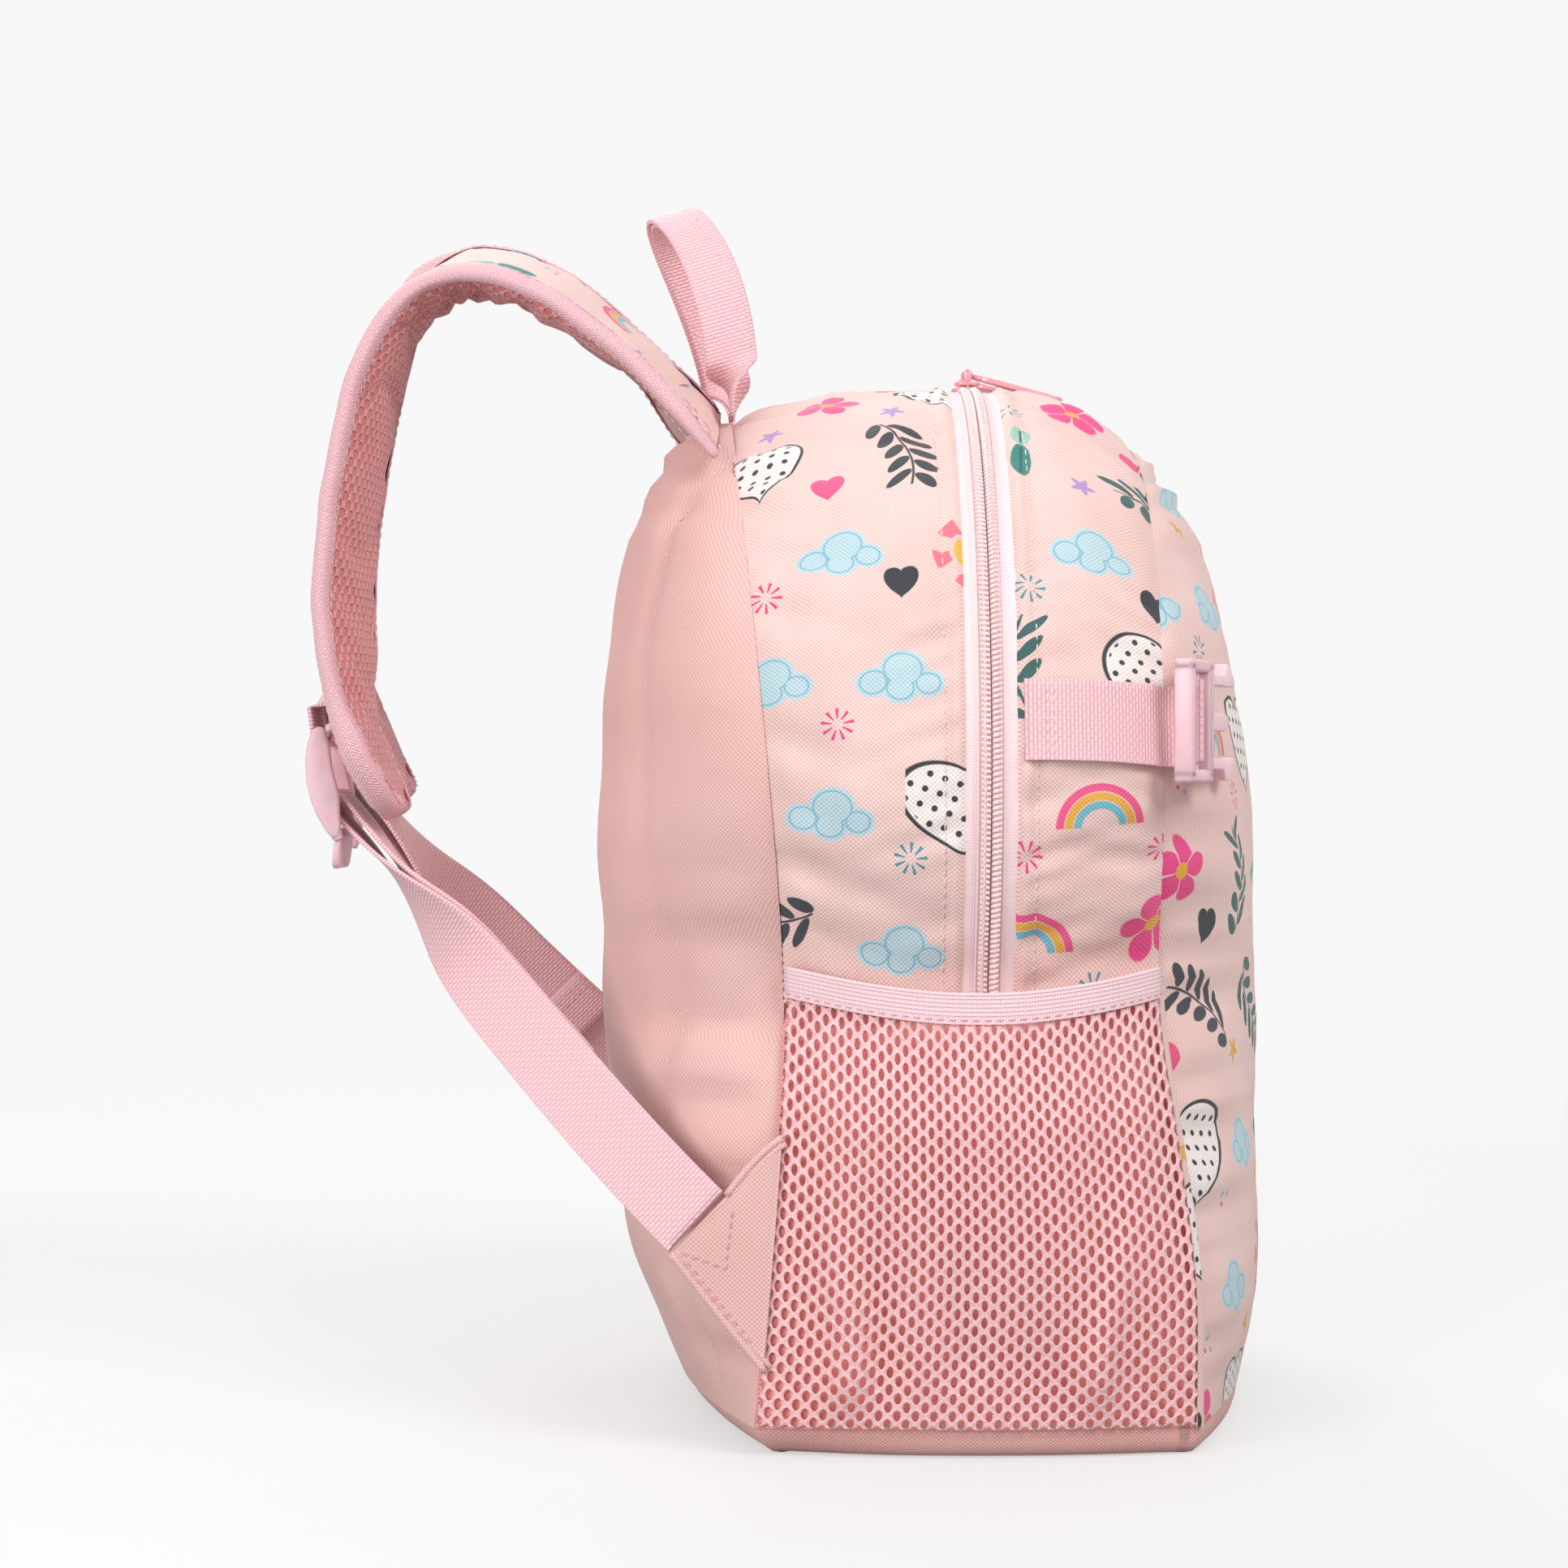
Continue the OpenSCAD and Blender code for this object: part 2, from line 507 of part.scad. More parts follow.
// Width direction turns from the seam's line at the ends to the depth at the crown
function handle_sec(t) =
    let (c = handle_c(t), d = unit(handle_c(min(1, t + 0.01)) - handle_c(max(0, t - 0.01))),
        k = ease((abs(cos(180 * t)) - 0.55) / 0.4),
        side = unit([0, 1, 0] * (1 - k) + cross([0, 1, 0], d) * k),
        n = unit(cross(d, side)), w = mix(handle_w, web_w - 3, k) / 2, h = mix(handle_t, web_t, k) / 2)
    [c + side * w - n * h, c - side * w - n * h, c - side * w + n * h, c + side * w + n * h];
module grab_handle() {
    ts = [for (i = [0 : 36]) i / 36];
    color(pink) translate(handle_root) rotate([-handle_lean, 0, 0])
        loft([for (t = ts) handle_sec(0.002 + t * 0.996)]);
}

// ---- shoulder straps ----
// Centre line of the left strap's printed face: [x, y, z, roll of its width]
LEFT = [[-45, 78.6, 324.8, 22], [-45, 88, 336, 19], [-45, 103, 353, 16], [-45, 118, 367, 17], [-45, 132, 377, 17],
    [-45, 148, 384, 17], [-45, 164, 385.5, 17], [-45, 178, 379, 15], [-45, 189, 365, 12], [-45, 197, 345, 8],
    [-45, 202.5, 322, 4], [-45, 206.5, 297, 1], [-45, 208.5, 272, 0], [-45, 207.5, 248, 0],
    [-45, 204, 228, 0], [-45, 198, 211, 0], [-45, 189, 195.5, 0]];
// The right strap leans in over the middle of the back
RIGHT = [[45, 78.6, 324.8, -22], [43.5, 89, 340, -17], [38, 105, 361, -6], [31, 122, 377, 0], [27, 137, 388, 2],
    [24, 153, 394, 3], [21, 170, 395.5, 3], [20, 186, 389, 2], [20, 198, 374, 1], [20, 206.5, 353, 0],
    [20, 212.5, 329, 0], [21, 216.5, 303, 0], [22, 218.5, 277, 0], [24, 217, 253, 0],
    [27, 213, 234, 0], [31, 206, 217, 0], [36, 197, 202, 0]];
// Smooth position along a list of points, by Catmull-Rom
function at(P, s) =
    let (n = len(P) - 1, i = min(n - 1, floor(s)), t = s - i, a = P[max(0, i - 1)], b = P[i], c = P[i + 1],
        d = P[min(n, i + 2)])
    0.5 * (2*b + (c - a) * t + (2*a - 5*b + 4*c - d) * t*t + (3*b - a - 3*c + d) * t*t*t);
function p3(v) = [v[0], v[1], v[2]];
// Frame along a strap: [point, along, width, outward]
function sframe(P, s) =
    let (n = len(P) - 1, c = at(P, s), d = unit(p3(at(P, min(n, s + 0.05))) - p3(at(P, max(0, s - 0.05)))),
        w0 = [cos(c[3]), 0, sin(c[3])], w = unit(w0 - d * (w0 * d)), o = cross(w, d))
    [p3(c), d, w, o];
strap_n = len(LEFT) - 1;
neck_s = 1.35;
// Half width along a strap, rounded at its lower end
function strap_hw(s) =
    let (r = (strap_n - s) * 17.5, h = strap_w / 2)
    r > h ? h : h * sqrt(max(0.001, 1 - pow(1 - r / h, 2)));
STRAP_S = concat([for (i = [0 : 24]) neck_s + i * (strap_n - 1.9 - neck_s) / 24],
    [for (q = [1.55, 1.2, 0.85, 0.55, 0.3, 0.12]) strap_n - q]);
// The layers inside the binding stop before its tip
LAYER_S = [for (s = STRAP_S) if (s < strap_n - 0.2) s];
layer_in = binding_w + gap;
foam_low = -strap_cover_t - strap_foam_t;
mesh_low = foam_low - strap_mesh_t;
// Corner of a layer at a share of the half width
function layer_pt(P, s, k, n) =
    let (f = sframe(P, s), h = strap_hw(s) - layer_in) f[0] + f[2] * k * h + f[3] * n;
module strap_cover(P) {
    low = -strap_cover_t;
    color(printed) loft([for (s = LAYER_S)
        [layer_pt(P, s, 1, -0.5), layer_pt(P, s, 0, 0), layer_pt(P, s, -1, -0.5), layer_pt(P, s, -1, low), layer_pt(P, s, 1, low)]]);
}
// A layer with flat faces between two depths
module flat_layer(P, high, low, other) {
    loft([for (s = LAYER_S) [layer_pt(P, s, 1, high), layer_pt(P, s, -1, high), layer_pt(P, s, -1, low), layer_pt(P, s, 1, low)]],
        other);
}
module strap_foam(P) { color("#f4efe9") flat_layer(P, -strap_cover_t, foam_low, true); }
module strap_mesh(P) { color(coral) flat_layer(P, foam_low, mesh_low, false); }
// Binding around both edges and the rounded end
function bind_pt(P, s, side, inset, n) =
    let (f = sframe(P, s), h = max(0, strap_hw(s) - inset)) f[0] + f[2] * side * h + f[3] * n;
module strap_binding(P) {
    path = concat([for (s = STRAP_S) [s, 1]], [[strap_n - 0.02, 0]],
        [for (i = [len(STRAP_S) - 1 : -1 : 0]) [STRAP_S[i], -1]]);
    color(pink) loft([for (q = path)
        let (tip = q[1] == 0, s = q[0],
            fo = sframe(P, s), a = tip ? fo[0] : bind_pt(P, s, q[1], 0, 0),
            b = tip ? fo[0] - fo[1] * binding_w : bind_pt(P, s, q[1], binding_w, 0))
        [a, b, b + fo[3] * mesh_low, a + fo[3] * mesh_low]]);
}
// At its root the neck's width follows the seam, and higher up it is square to the strap
module strap_neck(P) {
    color(printed) loft([for (s = [0, 0.3, 0.6, 0.9, 1.1, neck_s - 0.02])
        let (f = sframe(P, s), r = at(P, s)[3], k = ease(s / 1.1), h = strap_w / 2 - 0.5,
            w = unit([cos(r), 0, sin(r)] * (1 - k) + f[2] * k), low = mix(-1.8, mesh_low + 1, ease(s / 1.2)))
        [f[0] + w * h - f[3] * 0.2, f[0] - w * h - f[3] * 0.2, f[0] - w * h + f[3] * low, f[0] + w * h + f[3] * low]]);
}

// ---- ladder locks, their loops and the lower webbing ----
// Place on a strap's printed face where a lock hangs, local x across, local z along, local y out
function lock_frame(P) = sframe(P, strap_n - 1.75);
lock_t = 3;
module lock_place(P) {
    f = lock_frame(P);
    // Columns: across, along the strap downwards, outward
    multmatrix([[f[2][0], f[3][0], f[1][0], f[0][0]], [f[2][1], f[3][1], f[1][1], f[0][1]],
        [f[2][2], f[3][2], f[1][2], f[0][2]]]) translate([0, lock_out, lock_up]) rotate([lock_lean, 0, 0]) children();
}
lock_out = 5.8;
lock_up = -2;
lock_lean = -9;
bar_r = 1.6;
lock_pitch = 21;
module ladder_lock(P) {
    w = web_w + 10;
    color("#f3c6d6") lock_place(P) {
        rotate([0, 90, 0]) translate([0, 0, -w / 2]) cylinder(r = bar_r, h = w, $fn = 28);
        for (x = [-w / 2, w / 2 - 4]) translate([x, -lock_t / 2, -1]) cube([4, lock_t, lock_pitch + 11]);
        translate([0, 0, lock_pitch]) rotate([0, 90, 0]) translate([0, 0, -w / 2]) cylinder(r = bar_r, h = w, $fn = 28);
        translate([-w / 2, -lock_t / 2, lock_pitch + 9.5]) cube([w, lock_t, 4]);
        translate([-w / 2 + 3, -lock_t / 2, lock_pitch + 11]) rotate([-14, 0, 0]) cube([w - 6, 2.2, 12]);
    }
}
loop_h = 8.8;
loop_l = 14.3;
// End of the loop past the lock's upper bar
loop_end = bar_r + gap + web_t;
module lock_loop(P) {
    t = web_t;
    color(pink) lock_place(P) difference() {
        translate([-web_w / 2, -loop_h / 2, loop_end - loop_l]) cube([web_w, loop_h, loop_l]);
        translate([-web_w / 2 - 1, -loop_h / 2 + t, loop_end - loop_l + t])
            cube([web_w + 2, loop_h - 2 * t, loop_l - 2 * t]);
    }
}

// Sewn end of the lower webbing on its tab: centre and width direction
tab_low = 27;
tab_x = half_w(tab_low, rear_drop * drop_k(tab_low)) + gap + tab_t / 2;
web_end = [tab_x, 84.6, 72.6];
web_end_w = unit([0, -0.7, 0.72]);
// Centre of the lock's middle bar
function bar_pos(P) =
    let (f = lock_frame(P), c = cos(lock_lean), q = sin(lock_lean))
    f[0] + f[3] * (lock_out - lock_pitch * q) + f[1] * (lock_up + lock_pitch * c);
WT = [for (i = [0 : 24]) i / 24];
function tab_end(s) = [s * web_end[0], web_end[1], web_end[2]];
// Direction in which the webbing meets the bar, square to it
function web_pull(P, s) = let (w = lock_frame(P)[2], d = bar_pos(P) - tab_end(s)) unit(d - w * (w * d));
// Point where the main layer meets its turn around the bar
function web_tip(P, s) = bar_pos(P) + cross(web_pull(P, s), lock_frame(P)[2]) * tail_h(1) / 2;
// Centre line of the main layer, a cubic curve from the sewn end (0) to the lock's bar (1)
function web_c(P, s, t) =
    let (e = tab_end(s), b = web_tip(P, s), r = norm(b - e) * 0.34, u = 1 - t,
        e2 = e + unit(b - e) * r + [s * 4, 2, -4], b2 = b - web_pull(P, s) * r)
    u*u*u * e + 3*u*u*t * e2 + 3*u*t*t * b2 + t*t*t * b;
function web_w_dir(P, s, t) =
    let (k = ease((t - 0.3) / 0.6)) unit([0, web_end_w[1], web_end_w[2]] * (1 - k) + lock_frame(P)[2] * s * k);
function web_frame(P, s, t) =
    let (c = web_c(P, s, t), d = unit(web_c(P, s, min(1, t + 0.02)) - web_c(P, s, max(0, t - 0.02))),
        w0 = web_w_dir(P, s, t), w = unit(w0 - d * (w0 * d)), n = unit(cross(d, w)) * -s)
    [c, d, w, n];
// Offset of the doubled tail from the main layer
function tail_h(t) = mix(web_t + 0.5, 2 * bar_r + web_t + 1, ease((t - 0.75) / 0.25));
function web_layer(P, s, t, h) =
    let (f = web_frame(P, s, t), c = f[0] + f[3] * h, w = f[2] * web_w / 2, n = f[3] * web_t / 2)
    [c + w + n, c - w + n, c - w - n, c + w - n];
function turn_sec(P, s, a) =
    let (f = web_frame(P, s, 1), h = tail_h(1), o = f[0] + f[3] * h / 2,
        dir = f[1] * sin(a) - f[3] * cos(a), c = o + dir * h / 2, w = f[2] * web_w / 2, n = -dir * web_t / 2)
    [c + w + n, c - w + n, c - w - n, c + w - n];
tail_end = 0.36;
module strap_webbing(P, s) {
    secs = concat([for (t = WT) web_layer(P, s, max(0.004, t), 0)],
        [for (a = [20 : 20 : 160]) turn_sec(P, s, a)],
        [for (i = [12 : -1 : 0]) let (t = mix(tail_end, 1, i / 12), q = web_layer(P, s, t, tail_h(t)))
            [q[3], q[2], q[1], q[0]]]);
    color(pink) {
        if (s > 0) loft(secs);
        else loft([for (q = secs) [q[3], q[2], q[1], q[0]]]);
    }
}
module strap_tab(s) {
    w = web_end_w * web_w / 2;
    a = web_end + w;
    b = web_end - w;
    color(plain) translate([s * tab_x - tab_t / 2, 0, 0]) rotate([90, 0, 90]) linear_extrude(tab_t)
        polygon([[seam_rear(tab_low) + 2 * gap, tab_low], [seam_rear(tab_low + tab_l) + 2 * gap, tab_low + tab_l],
            [a[1] - 8, a[2] + 8.2], [a[1] - gap, a[2] - gap],
            [b[1] - gap, b[2] - gap], [b[1] - 12, b[2] - 19]]);
}

module strap_tab_left() { strap_tab(-1); }
module strap_tab_right() { strap_tab(1); }
module strap_neck_left() { strap_neck(LEFT); }
module strap_neck_right() { strap_neck(RIGHT); }
module strap_cover_left() { strap_cover(LEFT); }
module strap_cover_right() { strap_cover(RIGHT); }
module strap_foam_left() { strap_foam(LEFT); }
module strap_foam_right() { strap_foam(RIGHT); }
module strap_mesh_left() { strap_mesh(LEFT); }
module strap_mesh_right() { strap_mesh(RIGHT); }
module strap_binding_left() { strap_binding(LEFT); }
module strap_binding_right() { strap_binding(RIGHT); }
module lock_loop_left() { lock_loop(LEFT); }
module lock_loop_right() { lock_loop(RIGHT); }
module ladder_lock_left() { ladder_lock(LEFT); }
module ladder_lock_right() { ladder_lock(RIGHT); }
module strap_webbing_left() { strap_webbing(LEFT, -1); }
module strap_webbing_right() { strap_webbing(RIGHT, 1); }

back_panel();
back_foam();
rear_gusset();
rear_zip_tape();
rear_zip_coil();
base_panel();
base_board();
side_panel_left();
side_panel_right();
mesh_pocket_left();
mesh_pocket_right();
pocket_elastic_left();
pocket_elastic_right();
front_panel_lower();
front_fold();
strap_tab_left();
strap_tab_right();
front_panel_upper();
front_gusset();
front_zip_tape();
front_zip_coil();
side_strap_left();
side_strap_right();
side_buckle_left();
side_buckle_right();
slider_left();
slider_right();
puller_left();
puller_right();
grab_handle();
strap_neck_left();
strap_neck_right();
strap_cover_left();
strap_cover_right();
strap_foam_left();
strap_foam_right();
strap_mesh_left();
strap_mesh_right();
strap_binding_left();
strap_binding_right();
lock_loop_left();
lock_loop_right();
strap_webbing_left();
strap_webbing_right();
ladder_lock_left();
ladder_lock_right();
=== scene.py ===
import math

import bmesh
import bpy
import numpy as np
from mathutils import Matrix, Vector


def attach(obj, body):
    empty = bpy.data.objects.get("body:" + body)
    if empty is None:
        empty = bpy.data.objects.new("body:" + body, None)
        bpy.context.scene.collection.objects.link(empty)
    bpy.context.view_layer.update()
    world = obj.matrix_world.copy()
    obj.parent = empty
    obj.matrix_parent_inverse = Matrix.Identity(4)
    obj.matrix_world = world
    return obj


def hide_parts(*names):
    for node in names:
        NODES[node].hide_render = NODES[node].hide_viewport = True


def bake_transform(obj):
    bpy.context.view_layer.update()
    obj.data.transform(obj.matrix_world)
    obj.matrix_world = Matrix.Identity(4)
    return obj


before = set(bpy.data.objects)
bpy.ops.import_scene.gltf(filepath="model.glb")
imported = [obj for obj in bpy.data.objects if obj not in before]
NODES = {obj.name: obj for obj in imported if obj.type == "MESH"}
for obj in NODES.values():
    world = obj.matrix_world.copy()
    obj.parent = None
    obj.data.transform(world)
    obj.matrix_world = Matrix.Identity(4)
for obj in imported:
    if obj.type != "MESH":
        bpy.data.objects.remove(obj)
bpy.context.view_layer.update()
MM = 0.001


# ---------------------------------------------------------------- shape of the CAD body, in mm
ARCH_R, ARCH_Z, ARCH_A, ZIP_Y = 130.0, 213.5, 117.0, -5.0
HALF_BASE, REAR_Y, REAR_RISE, FRONT_Y = 116.0, 58.0, 18.0, -60.0
BACK_BULGE, FRONT_BULGE, REAR_DROP, FRONT_DROP = 62.0, 44.0, 11.0, 19.0
BASE_H, ZIP_END = 9.0, 150.0
TAPE_W = 8.3
POCKET_H, BAND_H, POCKET_GAP, POCKET_FRONT = 149.0, 9.5, 11.0, 7.0
WEB_W, WEB_T = 25.0, 1.4
TOP = ARCH_Z + ARCH_R
# the folds near the base die out over this height, and FAR is beyond every distance
FOOT_CALM, FAR = 25, 999
# the inner faces' map is moved this far off in mm, where nothing is printed
PLAIN_UV = 9000
SIDES = ((-1, "left"), (1, "right"))
TAU = 2 * math.pi
DEPTH = np.array([0, 1.0, 0])


def mix(a, b, t):
    return a + (b - a) * t


def ease(t):
    t = np.clip(t, 0, 1)
    return t * t * (3 - 2 * t)


def unit(v):
    v = np.asarray(v, float)
    return v / np.maximum(np.linalg.norm(v, axis=-1, keepdims=True), 1e-12)


def power(x, p):
    return np.maximum(x, 0) ** p


def sind(a):
    return np.sin(np.radians(a))


def cosd(a):
    return np.cos(np.radians(a))


def arc_end(off):
    return ARCH_Z + (ARCH_R - off) * cosd(ARCH_A)


def half_w(z, off):
    z, off = np.asarray(z, float), np.asarray(off, float)
    z2 = arc_end(off)
    h = z2 - 100
    t = np.clip((z - 100) / h, 0, 1)
    w1, w2 = HALF_BASE + 3 - off, (ARCH_R - off) * sind(ARCH_A)
    m = -1 / math.tan(math.radians(ARCH_A))
    low = (
        (2 * t**3 - 3 * t**2 + 1) * w1
        + (t**3 - 2 * t**2 + t) * h * 0.03
        + (3 * t**2 - 2 * t**3) * w2
        + (t**3 - t**2) * h * m
    )
    low = np.where(z >= 100, low, w1 - 3 * (100 - z) / 100)
    return np.where(z >= z2, np.sqrt(np.maximum(0, (ARCH_R - off) ** 2 - (z - ARCH_Z) ** 2)), low)


def drop_k(z):
    return mix(0.35, 1, ease((z - BASE_H) / 150))


def seam_rear(z):
    return np.where(
        z > 140,
        REAR_Y + REAR_RISE * power((z - 140) / (TOP - REAR_DROP - 140), 1.3),
        REAR_Y + 10 * power((140 - z) / 140, 1.2),
    )


def seam_front(z):
    return FRONT_Y - 11 * ease((ZIP_END - z) / 110)


def drop(y, z):
    rear = REAR_DROP * ((y - ZIP_Y) / (seam_rear(z) - ZIP_Y)) ** 2
    front = FRONT_DROP * ((ZIP_Y - y) / (ZIP_Y - seam_front(z))) ** 2
    return drop_k(z) * np.where(y > ZIP_Y, rear, front)


def mid_front(z):
    r = np.clip((z - 150) / (TOP - FRONT_DROP - 150), 0, 1)
    high = FRONT_BULGE * power(1 - r * r, 0.6)
    low = FRONT_BULGE - 11 * ease((150 - z) / 110) - 8 * np.clip((60 - z) / 60, 0, 1) ** 2
    return seam_front(z) - np.where(z > 150, high, low)


def mid_rear(z):
    r = np.where(z > 190, (z - 190) / (TOP - REAR_DROP - 190), (190 - z) / 190)
    r = np.clip(r * r, 0, 1)
    high = mix(REAR_Y + REAR_RISE, REAR_Y + BACK_BULGE, power(1 - r, 0.42))
    low = mix(REAR_Y + BACK_BULGE - 27, REAR_Y + BACK_BULGE, power(1 - r, 0.7))
    return np.where(z > 190, high, low)


def rear_y(u, z):
    k = ease(z / 60)
    s = power(1 - np.abs(u) ** mix(1.7, 2.5, k), mix(1, 0.6, k))
    return mix(seam_rear(z), mid_rear(z), s) - 4.5 * s * (1 - ease(z / 85))


def front_y(u, z):
    k = ease(z / 60)
    s = power(1 - np.abs(u) ** mix(1.7, 2, k), mix(1, 0.8, k))
    return mix(seam_front(z), mid_front(z), s)


def band_y(f, part, z):
    if part == "rear":
        return mix(ZIP_Y + TAPE_W, seam_rear(z), f)
    return mix(ZIP_Y - TAPE_W, seam_front(z), f)


def arch_at(a, y, out, z=None):
    """Point on the gusset's face at an angle from the top and a depth."""
    a, y = np.broadcast_arrays(np.asarray(a, float), np.asarray(y, float))
    z = ARCH_Z + (ARCH_R - 5) * cosd(a) if z is None else z
    r = ARCH_R - drop(y, z) + out
    return np.stack([r * sind(a), y, ARCH_Z + r * cosd(a)], -1)


# length of the arch along the zip from its top to one end
ARC_LEN = ARCH_R * math.radians(ARCH_A)


def round_at(q, y, out):
    """Point at a length q from the arch's top along the zip (to +X above 0), at depth y, off by out."""
    q, y, out = np.broadcast_arrays(*(np.asarray(x, float) for x in (q, y, out)))
    beyond, zc = np.abs(q) - ARC_LEN, arc_end(0)
    p = arch_at(np.clip(np.abs(q), 0, ARC_LEN) / ARCH_R * 180 / math.pi, y, out)
    z = zc - beyond
    low = np.stack([half_w(z, drop(y, z)) + out, y, z], -1)
    # the two forms meet at the arch's end, where the seam's drop shifts the end a little
    end = np.stack([half_w(zc, drop(y, zc)) + out, y, np.full_like(y, zc)], -1)
    low = low + (arch_at(ARCH_A, y, out) - end) * np.clip(1 - beyond / 20, 0, 1)[..., None]
    p = np.where((beyond > 0)[..., None], low, p)
    p[..., 0] *= np.where(q < 0, -1, 1)
    return p


# ---------------------------------------------------------------- mesh helpers


def normals(P):
    du = np.gradient(P, axis=1)
    dv = np.gradient(P, axis=0)
    return unit(np.cross(du, dv))


def run(P):
    """Lengths along a line of points, from 0 at the first."""
    return np.concatenate([[0], np.cumsum(np.linalg.norm(np.diff(P, axis=0), axis=1))])


def facing(N, ref):
    """Normals turned to the side that the directions ref point to."""
    return N * np.sign(np.sum(N * ref, -1, keepdims=True) + 1e-9)


def square(v, d):
    """Directions v made square to the unit directions d."""
    return unit(v - d * np.sum(v * d, -1, keepdims=True))


def around(C, A, a, B, b):
    """A grid of points about the centres C: a along the directions A and b along B."""
    A, B = np.broadcast_to(A, C.shape), np.broadcast_to(B, C.shape)
    return C[:, None] + A[:, None] * a[..., None] + B[:, None] * b[..., None]


def hoops(C, A, B, r, n, flat=1.0):
    """Rings of n points and radius r round the centres C, flattened along B."""
    a, r = np.linspace(0, TAU, n, endpoint=False), np.asarray(r, float)[..., None]
    return around(C, A, np.cos(a) * r, B, np.sin(a) * r * flat)


def waves(x, y, seed, size, n=7):
    """Smooth repeatable noise of about one wave per size, from -1 to 1."""
    r = np.random.RandomState(seed)
    out = 0
    for _ in range(n):
        a, f, p = r.uniform(0, 2 * math.pi), r.uniform(0.6, 1.7), r.uniform(0, 2 * math.pi)
        out = out + np.sin((x * math.cos(a) + y * math.sin(a)) * 2 * math.pi * f / size + p)
    return out / math.sqrt(n) / 1.4


def make(name, V, F, mat, uv=None, smooth=True):
    """Mesh object from points in mm, faces and one uv pair a corner (metres)."""
    me = bpy.data.meshes.new(name)
    me.from_pydata((np.asarray(V, float) * MM).tolist(), [], [list(map(int, f)) for f in F])
    me.polygons.foreach_set("use_smooth", [smooth] * len(me.polygons))
    if uv is not None:
        layer = me.uv_layers.new(name="UVMap")
        idx = np.empty(len(me.loops), int)
        me.loops.foreach_get("vertex_index", idx)
        layer.data.foreach_set("uv", (np.asarray(uv, float)[idx] * MM).astype(np.float32).ravel())
    me.update()
    o = bpy.data.objects.new(name, me)
    bpy.context.scene.collection.objects.link(o)
    me.materials.append(mat)
    return o


def quads(n, m, loop_n=False, loop_m=False, base=0):
    i, j = np.arange(n if loop_n else n - 1), np.arange(m if loop_m else m - 1)
    i, j = np.meshgrid(i, j, indexing="ij")
    i2, j2 = (i + 1) % n, (j + 1) % m
    return base + np.stack([i * m + j, i * m + j2, i2 * m + j2, i2 * m + j], -1).reshape(-1, 4)


def grid_uv(P):
    """Lengths along a grid's rows, from its middle column, and down that column, in mm."""
    n, m, _ = P.shape
    du = np.cumsum(np.linalg.norm(np.diff(P, axis=1), axis=2), 1)
    du = np.concatenate([np.zeros((n, 1)), du], 1)
    c = m // 2
    return np.stack([du - du[:, c : c + 1], run(P[:, c])[:, None] + 0 * du], -1)


def shell(name, P, mat, t=1.2, flip=False, uv=None):
    """A sheet with thickness on the inner side of a grid; its inner face carries no print."""
    P = np.asarray(P, float)
    if flip:
        P = P[:, ::-1]
        uv = None if uv is None else uv[:, ::-1]
    n, m, _ = P.shape
    uv = grid_uv(P) + len(name) * 61.0 if uv is None else uv
    k, P, Q, uv = n * m, P.reshape(-1, 3), (P - normals(P) * t).reshape(-1, 3), uv.reshape(-1, 2)
    V, T = [*P, *Q], [*uv, *(uv + PLAIN_UV)]
    F = [*quads(n, m), *quads(n, m, base=k)[:, ::-1]]
    ids = np.arange(k).reshape(n, m)
    for line, turned in ((ids[:, 0], False), (ids[:, -1], True), (ids[0], True), (ids[-1], False)):
        base = len(V)
        V += [P[i] for i in line]
        T += [uv[i] + PLAIN_UV for i in line]
        for i in range(len(line) - 1):
            a, b = (i + 1, i) if turned else (i, i + 1)
            F.append([base + a, base + b, line[b] + k, line[a] + k])
    return make(name, V, F, mat, T)


def tube(name, P, mat, uv=None):
    """A closed solid swept through rings of points (rows), each of the same count."""
    P = np.asarray(P, float)
    n, m, _ = P.shape
    # one seam of repeated points carries the map's jump
    P = np.concatenate([P, P[:, :1]], 1)
    uv = grid_uv(P) if uv is None else uv
    caps = [list(range(m, 0, -1)), [(n - 1) * (m + 1) + j for j in range(m)]]
    return make(name, P.reshape(-1, 3), [*quads(n, m + 1), *caps], mat, uv.reshape(-1, 2))


def ribbon(name, C, W, N, w, t, mat, across=7):
    """Flat webbing with rounded edges along centres C, width directions W and face normals N."""
    C, W, N = np.asarray(C, float), unit(W), unit(N)
    w, t = (np.broadcast_to(np.asarray(x, float), len(C))[:, None] for x in (w, t))
    x = np.linspace(-1, 1, across) * 0.985
    top, low = [(k, 0.5) for k in x], [(k, -0.5) for k in x[::-1]]
    ring = np.array(top + [(1.0, 0.25), (1.0, -0.25)] + low + [(-1.0, -0.25), (-1.0, 0.25)])
    P = around(C, W, ring[:, 0] * w / 2, N, ring[:, 1] * t)
    u = np.concatenate([ring[:, 0], ring[:1, 0]]) * w / 2
    return tube(name, P, mat, np.stack([u, run(C)[:, None] + 0 * u], -1))


def pill(n, rings):
    """Points and faces of a ball of radius 1 with its axis along x, scaled later."""
    a = math.pi * (np.arange(rings) + 0.5) / rings
    b = TAU * np.arange(n) / n
    V = [(-math.cos(i), math.sin(i) * math.cos(j), math.sin(i) * math.sin(j)) for i in a for j in b]
    F = []
    for i in range(rings - 1):
        for j in range(n):
            j2, up = (j + 1) % n, (i + 1) * n
            F.append([j + i * n, j2 + i * n, j2 + up, j + up])
    F += [list(range(n - 1, -1, -1)), [j + (rings - 1) * n for j in range(n)]]
    return np.array(V), F


